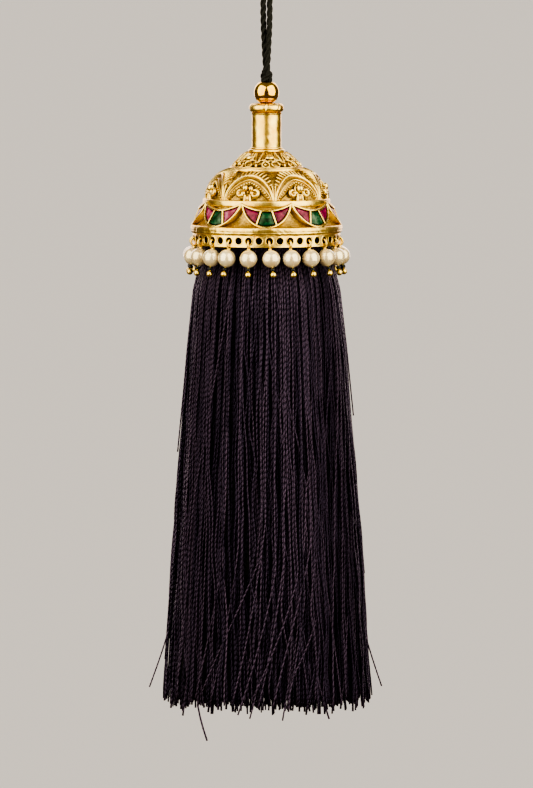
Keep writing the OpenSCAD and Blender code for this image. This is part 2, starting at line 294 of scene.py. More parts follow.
cord = {
    "diameter": 1.7,
    "legOffset": 0.87,
    "knotTop": -31.6, "knotFoot": -35.8, "headTop": -54.88,
    "turn": 7.0,          # length of one turn of the plies
    "plyRadius": 0.44, "plyOffset": 0.41,
    "step": 0.28, "sides": 30,
    "length": 0.117,
}
cordRoute = [
    [0.2, -0.9, -31.6], [0.4, -0.8, -28], [0.6, -0.7, -24], [0.8, -0.5, -20],
    [0.9, -0.2, -16], [0.9, 0, -12], [1.2, 0, -9.8], [2, 0, -7.8],
    [2.9, 0, -6], [3.5, 0, -4.4], [3.6, 0, -2.8], [3.3, 0, -1.4],
    [2.5, 0, -0.2], [1.4, 0, 0.6], [0, 0, 0.85],
    [-1.4, 0, 0.6], [-2.5, 0, -0.2], [-3.3, 0, -1.4], [-3.6, 0, -2.8],
    [-3.5, 0, -4.4], [-2.9, 0, -6], [-2, 0, -7.8], [-1.2, 0, -9.8],
    [-0.9, 0, -12], [-0.9, 0.2, -16], [-0.8, 0.5, -20], [-0.6, 0.7, -24],
    [-0.4, 0.8, -28], [-0.2, 0.9, -31.6],
]


def smoothRoute(points, step):
    # Catmull-Rom through the route's points, then even steps
    p = np.asarray(points, float)
    p = np.concatenate([[2 * p[0] - p[1]], p, [2 * p[-1] - p[-2]]])
    t = np.linspace(0, 1, 24, endpoint=False)[:, None]
    spans = [0.5 * (2 * b + (c - a) * t + (2 * a - 5 * b + 4 * c - d) * t ** 2
                    + (3 * b - a - 3 * c + d) * t ** 3)
             for a, b, c, d in zip(p[:-3], p[1:-2], p[2:-1], p[3:])]
    line = np.concatenate(spans + [p[-2:-1]])
    walked = walkedAlong(line)
    even = np.linspace(0, walked[-1], int(walked[-1] / step) + 1)
    return np.stack([np.interp(even, walked, line[:, k]) for k in range(3)], -1), walked[-1]


legDown = [cord["knotFoot"] - 0.8, cord["knotFoot"] - 4, -43, -47, -51, cord["headTop"]]
cordLine = ([[cord["legOffset"], 0, z] for z in reversed(legDown)] + [[0.55, -0.5, -33.8]] + cordRoute
            + [[-0.55, 0.5, -33.8]] + [[-cord["legOffset"], 0, z] for z in legDown])
cordPath, cordReach = smoothRoute(cordLine, cord["step"])
print("cord centreline", round(cordReach, 1), "mm")


def sidesAlong(path):
    # carries one side vector along the path without turning it about the path
    along = unit(np.gradient(path, axis=0))
    side = np.zeros_like(path)
    last = np.array([0.0, 1.0, 0.0])
    for i, way in enumerate(along):
        last = last - way * (last @ way)
        last /= np.linalg.norm(last)
        side[i] = last
    return side, np.cross(along, side)


def laidCord(path, look):
    # the tube's radius follows the three plies round, and a point is hollow in the grooves between them
    side, up = sidesAlong(path)
    around = np.arange(look["sides"]) * 2 * math.pi / look["sides"]
    turn = walkedAlong(path)[:, None] * 2 * math.pi / look["turn"]
    third = 2 * math.pi / 3
    off = np.mod(around[None, :] - turn + third / 2, third) - third / 2
    radius = (look["plyOffset"] * np.cos(off)
              + np.sqrt(look["plyRadius"] ** 2 - (look["plyOffset"] * np.sin(off)) ** 2))
    rings = path[:, None] + radius[..., None] * (np.cos(around)[None, :, None] * side[:, None]
                                                 + np.sin(around)[None, :, None] * up[:, None])
    groove = 1 - (radius - radius.min()) / (radius.max() - radius.min())
    points = np.concatenate([rings.reshape(-1, 3), path[:1], path[-1:]])
    part = (points,) + tubeFaces(len(path), look["sides"])
    return [part], {"hollow": np.concatenate([groove.ravel(), [0, 0]])}


# Black cotton cord: soft sheen on each ply, with painted shade, almost black, in the grooves between the
# plies
cordBlack, tree, shader, place = newMaterial("laidCottonCordBlack", {
    "Roughness": 0.66, "Specular IOR Level": 0.3, "Sheen Weight": 0.06, "Sheen Roughness": 0.4,
    "Sheen Tint": toLinear("#6A6470"),
})
groove = addNode(tree, "Attribute", {"attribute_name": "hollow"})
fibre = addNode(tree, "TexNoise", {"Scale": perMetre(0.35), "Detail": 4.0, "Roughness": 0.7},
                {"Vector": place})
tone = addNode(tree, "ValToRGB", {"stops": [(0.3, "#050505"), (0.7, "#141214")]}, {"Fac": fibre})
# painted shade: the grooves between the plies are coloured near black
dark = addNode(tree, "Mix", {"data_type": "RGBA", 7: toLinear("#020202")},
               {0: groove.outputs["Fac"], 6: tone})
fuzz = addNode(tree, "Bump", {"Distance": 0.06 * mm}, {"Height": fibre})
feed(shader, {"Base Color": dark.outputs[2], "Normal": fuzz})

cordParts, cordHollow = laidCord(cordPath, cord)
cordPiece = makePiece("doubledCord", cordParts, cordBlack, ("cord_loop", "cord_stem"),
                      values=cordHollow)


def turnAbout(axis, a):
    c, s = math.cos(a), math.sin(a)
    return np.array({"x": [[1, 0, 0], [0, c, -s], [0, s, c]], "y": [[c, 0, s], [0, 1, 0], [-s, 0, c]],
                     "z": [[c, -s, 0], [s, c, 0], [0, 0, 1]]}[axis])


# The knot is the same cord drawn tight: three lobes that cross over and under, leaning a little to the right
knot = {"lobes": 0.36, "halfHeight": 1.25, "lean": 12, "plyRadius": 0.42, "plyOffset": 0.38, "turn": 4.6,
        "sides": 24}
t = np.linspace(0, 2 * math.pi, 150)
knotLine = np.stack([knot["lobes"] * (np.sin(t) + 2 * np.sin(2 * t)),
                     knot["lobes"] * (np.cos(t) - 2 * np.cos(2 * t)),
                     -knot["halfHeight"] * np.sin(3 * t)], -1) @ turnAbout("y", -math.radians(knot["lean"]))
knotParts, knotHollow = laidCord(knotLine + [0, 0, (cord["knotTop"] + cord["knotFoot"]) / 2], knot)
knotPiece = makePiece("cordKnot", knotParts, cordBlack, ("cord_knot",), values=knotHollow)

print("cord and knot made")


# Gold finishes

# Raised ornament, rubbed bright by handling, with the casting's grain drawn coarser than it is to show it
reliefGold = goldMaterial("castGoldRubbedBright", {
    "deep": "#D8B06A", "mid": "#EACE8A", "pale": "#F5E1A6", "patinaAndShade": "#4E391C", "pits": 0.15,
    "rough": (0.24, 0.38), "blotch": 2.0, "grain": 0.32, "dent": 0.9, "grainDepth": 0.02, "dentDepth": 0.03,
})
# The stippled ground between the ornament, matte and darker
groundGold = goldMaterial("castGoldMattedGround", {
    "deep": "#8C6E40", "mid": "#AE905A", "pale": "#CCAE72", "patinaAndShade": "#4A341A", "pits": 0.5,
    "rough": (0.34, 0.52), "blotch": 1.1, "grain": 0.36, "dent": 0.6, "grainDepth": 0.05, "dentDepth": 0.05,
})
# The wall behind the crescents, left as cast and rough, and coloured darker than the other gold: painted
# shade for the shade under the crescents
shadedWallGold = goldMaterial("castGoldShadedWall", {
    "deep": "#A88A50", "mid": "#C2A468", "pale": "#DCC084", "patinaAndShade": "#503A1A", "pits": 0.55,
    "rough": (0.36, 0.56), "blotch": 1.2, "grain": 0.36, "dent": 0.7, "grainDepth": 0.06, "dentDepth": 0.08,
})
# Neck, ledge, rim and band: plated smooth, with a fine satin grain
satinGold = goldMaterial("satinGoldPlate", {
    "deep": "#DAB060", "mid": "#E9C97C", "pale": "#F3DB94", "patinaAndShade": "#654418", "pits": 0.08,
    "rough": (0.26, 0.37), "blotch": 2.6, "grain": 0.34, "dent": 1.3, "grainDepth": 0.012, "dentDepth": 0.026,
})
# The ball above the neck, buffed to a mirror
polishedGold = goldMaterial("buffedGoldPlate", {
    "deep": "#DCAC50", "mid": "#E8C266", "pale": "#F0D07A", "patinaAndShade": "#5B320A", "pits": 0.0,
    "rough": (0.09, 0.15), "blotch": 4.0, "grain": 0.3, "dent": 2.0, "grainDepth": 0.001, "dentDepth": 0.006,
})
# Wire of the drops: drawn brass with a gold wash, a little more amber
wireGold = goldMaterial("drawnGoldWire", {
    "deep": "#DCB45E", "mid": "#EACC7A", "pale": "#F4DE96", "patinaAndShade": "#5B320A", "pits": 0.1,
    "rough": (0.28, 0.4), "blotch": 1.2, "grain": 0.25, "dent": 0.7, "grainDepth": 0.006, "dentDepth": 0.012,
})


# Ball above the neck

finial = {"diameter": 7.0, "bore": 3.7, "level": -37.97, "edge": 0.22}
ballR, boreR, edge = finial["diameter"] / 2, finial["bore"] / 2, finial["edge"]
mouth = math.degrees(math.acos((boreR + edge) / (ballR - edge * 0.4)))
outside = arcPoints((0, finial["level"]), ballR, -mouth, mouth, 56)
half = outside[-1][1] - finial["level"]
lip = [(boreR + 0.07, finial["level"] + half + 0.05), (boreR, finial["level"] + half - 0.18)]
lowLip = [(r, 2 * finial["level"] - z) for r, z in reversed(lip)]
makePiece("finialBall", [turned(np.concatenate([lowLip, outside, lip]), 96, closed=True)], polishedGold,
          ("finial_bead",))


# Bell cap: neck and plain turned work

cap = {
    "collarR": 4.85, "collarH": 2.5, "neckR": 4.12, "neckInR": 3.2, "neckFoot": -12.4, "boreR": 1.85,
    "plate": 1.2,
    # rings round the neck's foot: how far out from the neck, level and thickness
    "footRings": ((0.35, -12.45, 0.6), (0.98, -13.15, 0.95)),
    "shoulderR": 10.55, "shoulderLevel": -18.4, "shoulderT": 1.5,
    "ledgeR": 17.7, "ledgeLevel": -27.3, "ledgeHalf": (0.8, 1.0), "ledgeSquareness": 0.62,
    "recessCentre": (23.5, -28.3), "recessR": 6.6,
    "bandR": 20.5, "bandT": 0.7, "bandTop": -35.0, "bandFoot": -39.1,
    # nicks where the collar's wire was joined and struck: angle, width in degrees and depth
    "nicks": ((357, 3.0, 0.26), (47, 2.5, 0.2), (124, 2.5, 0.16), (203, 3.0, 0.22), (291, 2.5, 0.16)),
    # the rolled rim and the slope behind it: radius and level
    "rim": [(15.6, -30.0), (17.3, -33.0), (18.6, -34.9), (19.5, -35.8), (20.1, -35.98), (20.46, -36.0),
            (20.66, -35.88), (20.84, -35.66), (20.94, -35.4), (20.98, -35.2), (20.95, -35.08),
            (20.99, -34.94), (21.06, -34.7), (21.08, -34.4), (21.06, -34.12), (20.98, -33.86),
            (20.78, -33.68), (20.3, -33.6), (19.5, -33.6)],
    "bandEdge": [(19.8, -38.95), (19.84, -39.1), (19.98, -39.2), (20.3, -39.2), (20.45, -39.12),
                 (20.5, -38.98)],
}


def capPiece(name, parts, material, sharp=None, hollow=None):
    # hollow is how far each point is coloured towards brown: patina in the recesses, and painted shade in
    # creases, holes and round the ornament
    values = None if hollow is None else {"hollow": hollow}
    return makePiece(name, parts, material, ("bell_cap",), sharp, values)


def halfRound(outerR, level, thick, start, end, steps):
    return arcPoints((outerR - thick / 2, level), thick / 2, start, end, steps)


def ripple(points, rng, lengths, height):
    # moves turned work in or out a little, as hand finishing leaves it
    angle = np.degrees(np.arctan2(points[..., 0], -points[..., 1]))
    radius = np.hypot(points[..., 0], points[..., 1])
    # the sine of the angle keeps both ends of the turn the same
    around = radius * np.sin(np.radians(angle))
    across = radius * np.cos(np.radians(angle))
    move = height * waves(rng, (around + points[..., 2] * 0.7, across - points[..., 2] * 0.7), lengths)
    outward = np.stack([points[..., 0] / radius, points[..., 1] / radius, np.zeros_like(radius)], -1)
    return points + outward * move[..., None]


rng = np.random.default_rng(41)
neckProfile = np.concatenate([
    [(cap["neckR"], cap["neckFoot"] - 0.6)],
    [(cap["neckR"], z) for z in np.linspace(cap["neckFoot"], -cap["collarH"] - 0.55, 26)],
    [(cap["neckR"] + 0.12, -cap["collarH"] - 0.35), (cap["neckR"] + 0.16, -cap["collarH"] - 0.1)],
    halfRound(cap["collarR"], -cap["collarH"] / 2, cap["collarH"], -84, 84, 18),
    [(3.2, -0.02), (2.4, -0.01), (cap["boreR"] + 0.15, -0.01), (cap["boreR"], -0.12),
     (cap["boreR"], -cap["plate"]), (cap["neckInR"], -cap["plate"] - 0.05),
     (cap["neckInR"], cap["neckFoot"] - 0.6)],
])
neckPoints, neckFaces = turned(neckProfile + [0, capTop], 216, closed=True)
neckPoints = ripple(neckPoints, rng, (2.2, 4.5), 0.022)
neckAngle = np.degrees(np.arctan2(neckPoints[..., 0], -neckPoints[..., 1])) % 360
onCollar = ((neckPoints[..., 2] > capTop - cap["collarH"])
            & (np.hypot(neckPoints[..., 0], neckPoints[..., 1]) > 3.6))
for at, width, deep in cap["nicks"]:
    slanted = (neckAngle - at - 6 * (neckPoints[..., 2] - capTop + cap["collarH"] / 2) + 180) % 360 - 180
    nick = deep * np.exp(-(slanted / width) ** 2) * onCollar
    neckPoints[..., :2] *= (1 - nick / np.hypot(neckPoints[..., 0], neckPoints[..., 1]))[..., None]
footRings = [turned(halfRound(cap["neckR"] + out, level + capTop, thick, -180, 168, 14), 128, closed=True)
             for out, level, thick in cap["footRings"]]
capPiece("capNeck", [(neckPoints, neckFaces)] + footRings, satinGold, sharp=50)

level = cap["shoulderLevel"] + capTop
shoulder = turned(halfRound(cap["shoulderR"], level, cap["shoulderT"], -180, 168, 14), 200, closed=True)
shoulderLine = turned(halfRound(cap["shoulderR"] - 0.35, level + 0.72, 0.5, -180, 150, 8), 200, closed=True)
ledgeOval = arcPoints((0, 0), 1.0, -180, 168, 24)
ledgeOval = np.sign(ledgeOval) * np.abs(ledgeOval) ** cap["ledgeSquareness"] * cap["ledgeHalf"]
ledge = turned(ledgeOval + [cap["ledgeR"] - cap["ledgeHalf"][0], cap["ledgeLevel"] + capTop], 256,
               closed=True)
capPiece("capRings", [(ripple(p, rng, (2.5, 5), 0.03), f) for p, f in (shoulder, shoulderLine, ledge)],
         satinGold)

# The wall behind the crescents, and the rim with its underside
recessWall = arcPoints(cap["recessCentre"], cap["recessR"], 243, 178, 30)
recessPoints, recessFaces = turned(recessWall + [0, capTop], 360)
recessPoints = ripple(recessPoints, rng, (0.7, 1.4), 0.05)
# painted shade: darker towards the top of the wall, under the ledge, with random mottle
recessShadeAndMottle = (0.25 * smooth(recessWall[:, 1], -30.5, -28.0)[:, None]
              + 0.22 * rng.normal(size=recessPoints.shape[:2]))
capPiece("capRecess", [(recessPoints, recessFaces)], shadedWallGold, hollow=np.clip(recessShadeAndMottle, 0, 1))

rimPoints, rimFaces = turned(np.array(cap["rim"]) + [0, capTop], 420)
capPiece("capRim", [(ripple(rimPoints, rng, (1.3, 2.6, 6.0), 0.045), rimFaces)], satinGold, sharp=55)
print("neck, rings and rim made")


# Pierced band: one cell for each hole

band = {
    "holes": 44, "firstAngle": 2.3, "holeLevel": -37.4, "holeR": 0.9, "perSide": 8,
    # rows of a cell, from its outer edge through the hole to its inner edge: how far out from the hole,
    # share of the way from there to the cell's edge, how far proud of the face, and painted shade in and
    # behind the hole
    "outerRows": [(0.34, 1.0, 0, 0), (0.34, 0.7, 0, 0), (0.34, 0.35, 0, 0), (0.34, 0, 0, 0),
                  (0.26, 0, 0.03, 0), (0.17, 0, 0.05, 0), (0.09, 0, 0.02, 0.15), (0.03, 0, -0.05, 0.7),
                  (0.01, 0, -0.12, 1.0), (0.01, 0, -0.35, 1.0)],
    "innerRows": [(0.01, 0, 0.02, 1.0), (0.05, 0, 0, 0.9), (0.4, 0.5, 0, 0.9), (0.4, 1.0, 0, 0.9)],
}


def bandCells(outerR, innerR):
    halfCell = math.pi * outerR / band["holes"]
    up, down = cap["bandTop"] - band["holeLevel"], cap["bandFoot"] - band["holeLevel"]
    n = band["perSide"]
    s = np.linspace(-1, 1, n + 1)[:-1]
    mid, tall = (up + down) / 2, (up - down) / 2
    edgeLine = np.concatenate([
        np.stack([np.full(n, halfCell), mid + tall * s], -1),
        np.stack([-s * halfCell, np.full(n, up)], -1),
        np.stack([np.full(n, -halfCell), mid - tall * s], -1),
        np.stack([s * halfCell, np.full(n, down)], -1)])
    turnAngle = np.arctan2(edgeLine[:, 1], edgeLine[:, 0])
    way = np.stack([np.cos(turnAngle), np.sin(turnAngle)], -1)
    count = len(edgeLine)
    rows = [row + (outerR,) for row in band["outerRows"]] + [row + (innerR,) for row in band["innerRows"]]
    # places in the cell and their distance from the axis
    cell = np.stack([np.concatenate([way * (band["holeR"] + out) * (1 - share) + edgeLine * share,
                                     np.full((count, 1), face + proud)], -1)
                     for out, share, proud, _, face in rows])
    parts = []
    for i in range(band["holes"]):
        angle = band["firstAngle"] + i * 360 / band["holes"] + np.degrees(cell[..., 0] / outerR)
        points = roundAbout(cell[..., 2], angle, cell[..., 1] + band["holeLevel"] + capTop)
        parts.append((points, gridFaces(len(rows), count, wrap=True)))
    return parts, np.tile(np.repeat([row[3] for row in rows], count), band["holes"])


footPart = turned(np.array(cap["bandEdge"]) + [0, capTop], 352)
bandParts, bandHoleShade = bandCells(cap["bandR"], cap["bandR"] - cap["bandT"])
capPiece("capBand", bandParts + [footPart], satinGold, 60,
         np.concatenate([bandHoleShade, np.zeros(footPart[0].size // 3)]))
print("band made")


# Domes: places on them are given as seen from the front, as x and level

# both are arcs turned about the axis: centre and radius of the arc, and the grid from its foot to its top
# in degrees
mainDome = {"centre": (7.8, -27.2), "radius": 8.6, "foot": 1.0, "top": 75.0, "up": 78, "around": 700}
upperDome = {"centre": (-1.9, -25.1), "radius": 13.5, "foot": 30.5, "top": 64.5, "up": 56, "around": 420}


def domePlace(dome, turnAngle, x, level, lift=0.0):
    # point and outward normal on a dome, the ornament's own front turned by an angle
    centre, radius = dome["centre"], dome["radius"]
    x, level = np.broadcast_arrays(np.asarray(x, float), np.asarray(level, float))
    tilt = np.arcsin(np.clip((level - centre[1]) / radius, -1, 1))
    away = centre[0] + radius * np.cos(tilt)
    side = np.arcsin(np.clip(x / away, -1, 1)) + math.radians(turnAngle)
    normal = np.stack([np.cos(tilt) * np.sin(side), -np.cos(tilt) * np.cos(side), np.sin(tilt)], -1)
    base = np.stack([away * np.sin(side), -away * np.cos(side), level + capTop], -1)
    return base + normal * np.asarray(lift, float)[..., None], normal


def domeAxes(normal):
    # across, up the dome, and outwards
    across = unit(np.cross(np.array([0, 0, 1.0]), normal))
    return np.stack([across, np.cross(normal, across), normal], -2)


def domeGrid(dome):
    # tilt and angle of every place on a dome, its level and its distance from the axis
    tilt, angle = np.meshgrid(np.radians(np.linspace(dome["foot"], dome["top"], dome["up"])),
                              np.arange(dome["around"]) * 360 / dome["around"], indexing="ij")
    away, level = dome["centre"]
    return tilt, angle, level + dome["radius"] * np.sin(tilt), away + dome["radius"] * np.cos(tilt)


def domeSkin(dome, radial, tilt, angle):
    away, level = dome["centre"]
    points = roundAbout(away + radial * np.cos(tilt), angle, level + radial * np.sin(tilt) + capTop)
    return [(points, gridFaces(*tilt.shape, wrap=True))]


def domeTools(parts, dome, base=0.0, lineLift=0.0):
    # both add raised work to the parts: a line through places on the dome, and an oval bead on one
    def addLine(turnAngle, xs, levels, halfWidth, halfHeight, lift=lineLift, sides=8):
        path, normal = domePlace(dome, turnAngle, np.asarray(xs, float),
                                 base + np.asarray(levels, float), lift)
        parts.append(swept(path, normal, halfWidth, halfHeight, sides))

    def addBead(turnAngle, x, level, radii, lift, segments=14, rings=10):
        centre, normal = domePlace(dome, turnAngle, [x], [base + level], [lift])
        parts.append(balls(centre, domeAxes(normal), radii, segments, rings))

    return addLine, addBead


arch = {
    "count": 7, "firstAngle": -18.3, "base": -27.0,
    # arch lines: half width, height and roundness at the rope, and how much each grows out to the rib
    "rope": (6.40, 5.6, 1.53), "toRib": (0.42, 1.25, 0.32),
    # ribs: arch line, bearing of the foot, how deep set, half width at the foot and the top, height and its
    # share left at the foot, how fast both swell, and how uneven the width is
    "ribs": [
        {"line": 1.0, "foot": 1, "sunk": 0.08, "half": (0.27, 0.48), "height": 0.8, "low": 0.6, "swell": 0.6,
         "uneven": 0.03, "steps": 76, "sides": 12},
        {"line": 0.20, "foot": 9, "sunk": 0.05, "half": (0.07, 0.17), "height": 0.46, "low": 0.4,
         "swell": 0.5, "uneven": 0, "steps": 60, "sides": 10},
    ],
    "granules": -0.36, "granulePitch": 0.74, "granule": (0.33, 0.25, 0.42),
    "platform": 0.42, "field": -0.22,
    "frontSeam": 7.4,                    # the lashes lean towards this angle from both sides
    # lashes: the arch lines where they start and the shortest end, and the bearings that they fan between
    "lashStart": 1.26, "lashEnd": 1.42, "lashFan": (124, 38),
    # the two kinds: length past the rib, lift of the ground under them, their own lift, and how many
    "shortLash": {"length": 0.75, "ground": 0.36, "lift": 0.36, "count": 11},
    "longLash": {"length": 1.3, "ground": 0.62, "lift": 0.64, "count": 14},
    # lines of painted shade along the grooves beside the ribs, the rope and the platform's edge: arch line,
    # half width and strength
    "grooveShadeLines": ((1.55, 0.14, 0.7), (0.54, 0.16, 0.8), (-0.4, 0.32, 0.85), (-0.92, 0.16, 1.0)),
    "doubleBuds": (0, 2, 4),             # the arches whose flower has two buds in place of one
}
archAngles = [arch["firstAngle"] + i * 360 / arch["count"] for i in range(arch["count"])]


def wrapped(angle):
    return (np.asarray(angle) + 180) % 360 - 180


def lashSides(angle):
    # which sides of an arch carry lashes, and which kind
    off = wrapped(arch["frontSeam"] - angle)
    if abs(off) > 150:
        return [(1, arch["longLash"]), (-1, arch["longLash"])]
    return [(1 if off > 0 else -1, arch["shortLash"] if abs(off) < 30 else arch["longLash"])]


def archShape(line):
    return [start + line * step for start, step in zip(arch["rope"], arch["toRib"])]


def archPlace(line, bearing):
    # x and height of a place on an arch line: the granules are just inside 0, the rib on 1
    half, tall, power = archShape(line)
    c, v = np.cos(np.radians(bearing)), np.sin(np.radians(bearing))
    return half * np.sign(c) * np.abs(c) ** (2 / power), tall * np.abs(v) ** (2 / power)


def archLineAt(x, height):
    # the arch line that passes through a place
    low, high = np.full(x.shape, -1.6), np.full(x.shape, 3.4)
    for _ in range(18):
        mid = (low + high) / 2
        half, tall, power = archShape(mid)
        outside = (np.abs(x) / half) ** power + (np.maximum(height, 0) / tall) ** power > 1
        low, high = np.where(outside, mid, low), np.where(outside, high, mid)
    return (low + high) / 2


def archPath(turnAngle, line, start, end, lift, pitch=None, steps=None):
    # even steps along an arch line
    fine = np.linspace(start, end, 300)
    x, height = archPlace(line, fine)
    walked = walkedAlong(domePlace(mainDome, turnAngle, x, arch["base"] + height)[0])
    steps = steps or int(walked[-1] / pitch) + 1
    bearing = np.interp(np.linspace(0, walked[-1], steps), walked, fine)
    x, height = archPlace(line, bearing)
    return domePlace(mainDome, turnAngle, x, arch["base"] + height, lift) + (bearing,)


def lashGrow(bearing):
    return smooth(bearing, 22, 42) * (1 - 0.3 * smooth(bearing, 100, 124))


# Main dome: the ground and the low platforms, as one surface
rng = np.random.default_rng(7)
tilt, angle, level, away = domeGrid(mainDome)
height = level - arch["base"]
lift, hollow, stippled = np.zeros_like(level), np.zeros_like(level), np.ones_like(level)
for archAngle in archAngles:
    offset = wrapped(angle - archAngle)
    near = np.abs(offset) < 42
    x = away * np.sin(np.radians(np.clip(offset, -60, 60)))
    line = archLineAt(x, height)
    ownSector = np.abs(offset) < 180 / arch["count"] + 0.3
    raised = smooth(line, -0.82, -0.68) * (1 - smooth(line, 1.32, 1.5)) * ownSector
    lift = np.maximum(lift, arch["platform"] * raised)
    lift = lift + arch["field"] * (1 - smooth(line, -1.15, -0.85)) * ownSector
    stippled = np.where(raised > 0.3, 0.2, stippled)
    # painted shade along the arch's grooves
    for at, width, weight in arch["grooveShadeLines"]:
        hollow = np.maximum(hollow, weight * np.exp(-((line - at) / width) ** 2) * ownSector)
    for side, lash in lashSides(archAngle):
        bearing = np.degrees(np.arctan2(height, x * side))
        reach = 1.3 + lash["length"] * lashGrow(bearing)
        inside = ((1 - smooth(line, reach - 0.12, reach + 0.08)) * smooth(line, 1.2, 1.35)
                  * smooth(bearing, 18, 30) * (1 - smooth(bearing, 118, 130)) * near)
        lift = np.maximum(lift, lash["ground"] * inside)
        # painted shade on the ground between the lashes
        hollow = np.where(inside > 0.4, 0.62, hollow)
        # painted shade just past the ends of the lashes
        shadeBeyondLashes = (np.exp(-((line - reach - 0.16) / 0.14) ** 2) * smooth(bearing, 8, 20)
                    * (1 - smooth(bearing, 80, 95)) * near)
        hollow = np.maximum(hollow, 0.75 * shadeBeyondLashes)
    # painted shadow under the flower's curls and in a ring round the flower
    shadowUnderFlower = np.exp(-(np.hypot((np.abs(x) - 1.9) / 0.8, (height - 0.95) / 0.45)) ** 2) * ownSector
    shadowRoundFlower = np.exp(-((np.hypot(x / 3.45, (height - 2.5) / 2.1) - 1) / 0.16) ** 2) * ownSector
    hollow = np.maximum(hollow, np.maximum(shadowUnderFlower, 0.85 * shadowRoundFlower * smooth(height, 0.8, 1.6)))
# painted shade in the corner at the foot of the dome
hollow = np.maximum(hollow, 0.4 * (1 - smooth(height, 0.65, 1.0)))
# painted shade at the top of the dome, under the shoulder ring
hollow = np.maximum(hollow, 0.7 * smooth(level, -19.5, -19.15))
stipple = rng.normal(0, 1, level.shape)
stipple = (stipple + np.roll(stipple, 1, 1) + np.roll(stipple, 1, 0)) / 3
lift += 0.055 * stipple * stippled
hollow = np.clip(hollow + 0.4 * np.maximum(-stipple, 0) * stippled, 0, 1)
capPiece("capMainDome", domeSkin(mainDome, mainDome["radius"] + lift, tilt, angle), groundGold, hollow=hollow)
print("main dome made")


# The raised work on the main dome: ribs, rope, lashes and a flower under each arch
rng = np.random.default_rng(18)
archParts = []
addLine, addBead = domeTools(archParts, mainDome, arch["base"])
for k, archAngle in enumerate(archAngles):
    for rib in arch["ribs"]:
        path, normal, bearing = archPath(archAngle, rib["line"], rib["foot"], 180 - rib["foot"],
                                         arch["platform"] - rib["sunk"], steps=rib["steps"])
        full = np.sin(np.radians(bearing)) ** rib["swell"]
        wide = rib["half"][0] + (rib["half"][1] - rib["half"][0]) * full
        wide = wide * (1 + rib["uneven"] * np.sin(np.linspace(0, 19, rib["steps"]) + k))
        high = rib["height"] * (rib["low"] + (1 - rib["low"]) * full)
        archParts.append(swept(path, normal, wide, high, rib["sides"]))

    # slanted granules inside the ribs, like a twisted rope
    centre, normal, bearing = archPath(archAngle, arch["granules"], 4, 176, arch["platform"] + 0.04,
                                       pitch=arch["granulePitch"])
    axes = domeAxes(normal)
    slant = np.radians(bearing + 8 * np.sign(bearing - 90))[:, None]
    long = axes[:, 0] * np.cos(slant) + axes[:, 1] * np.sin(slant)
    wide = np.cross(axes[:, 2], long)
    jitter = 1 + 0.1 * rng.standard_normal((len(centre), 1))
    archParts.append(balls(centre, np.stack([long, wide, axes[:, 2]], -2), arch["granule"] * jitter, 10, 7))

    # lashes fan out from the rib, and the outermost runs down the leg
    for side, lash in lashSides(archAngle):
        s = np.linspace(0, 1, 8)
        taper = np.sin(np.clip(s * 0.75 + 0.2, 0, 1) * math.pi) ** 0.4
        for bearing in np.linspace(*arch["lashFan"], lash["count"]):
            reach = arch["lashEnd"] + lash["length"] * lashGrow(bearing)
            x, height = archPlace(arch["lashStart"] + (reach - arch["lashStart"]) * s, bearing - 4 * s)
            addLine(archAngle, side * x, height, 0.21 * taper + 0.02, 0.5 * taper + 0.02, lash["lift"])
        s = np.linspace(0, 1, 16)
        x, height = archPlace(1.46 + 0.42 * (1 - s) ** 1.5 - 0.1 * s, 34 - 32 * s)
        addLine(archAngle, side * x, height, 0.22 - 0.05 * s, 0.5, 0.3)

    # flower: two rolled curls, a bud of one or two beads and a stem of three ridges
    for side in (-1, 1):
        s = np.linspace(0, 1, 36)
        a = np.radians(130 - 350 * s)
        roll = (0.94 if side > 0 else 0.84) - 0.26 * s
        thick = np.interp(s, [0, 0.12, 0.7, 1], [0.3, 0.5, 0.46, 0.3])
        addLine(archAngle, side * (2.04 + roll * np.cos(a)), 2.4 + 0.9 * roll * np.sin(a), thick, thick * 1.5,
                0.55 + 0.15 * s, 10)
        addBead(archAngle, side * 2.08, 2.4, [0.22, 0.24, 0.6], 0.75)
        addBead(archAngle, side * 0.98, 2.45, [0.42, 0.6, 0.6], 0.7)
        s = np.linspace(0, 1, 12)
        thick = 0.36 + 0.08 * np.sin(s * math.pi)
        addLine(archAngle, side * (0.66 + 0.22 * s ** 2), 2.1 - 1.85 * s, thick, thick * 1.5, 0.5)
    addBead(archAngle, 0.0, 1.15, [0.42, 0.85, 0.62], 0.5)
    if k in arch["doubleBuds"]:
        addBead(archAngle, -0.74, 3.6, [0.82, 0.96, 0.95], 1.0, 22, 14)
        addBead(archAngle, 0.84, 3.5, [0.68, 0.82, 0.85], 0.9, 20, 14)
    else:
        addBead(archAngle, 0.3, 3.42, [1.02, 1.12, 1.05], 1.0, 24, 16)
        a = np.radians(np.linspace(110, 290, 20))
        addLine(archAngle, 0.3 + 1.4 * np.cos(a), 3.3 + 1.35 * np.sin(a), 0.2, 0.45, 0.45)
    addBead(archAngle, 0.0, 2.75, [0.36, 0.36, 0.5], 0.55)


def liftOver(parts, dome):
    # how far each place stands out from a dome
    points = joinParts(parts)[0]
    away, level = dome["centre"]
    return np.hypot(np.hypot(points[:, 0], points[:, 1]) - away,
                    points[:, 2] - capTop - level) - dome["radius"]


archLift = liftOver(archParts, mainDome)
# painted shade: the ornament is coloured darker where it stands low over the ground, as under the flowers
capPiece("capArches", archParts, reliefGold, hollow=0.85 * (1 - smooth(archLift, 0.36, 0.64)))
print("arches made")


# Upper dome: two kinds of motif by turns, on a matted ground

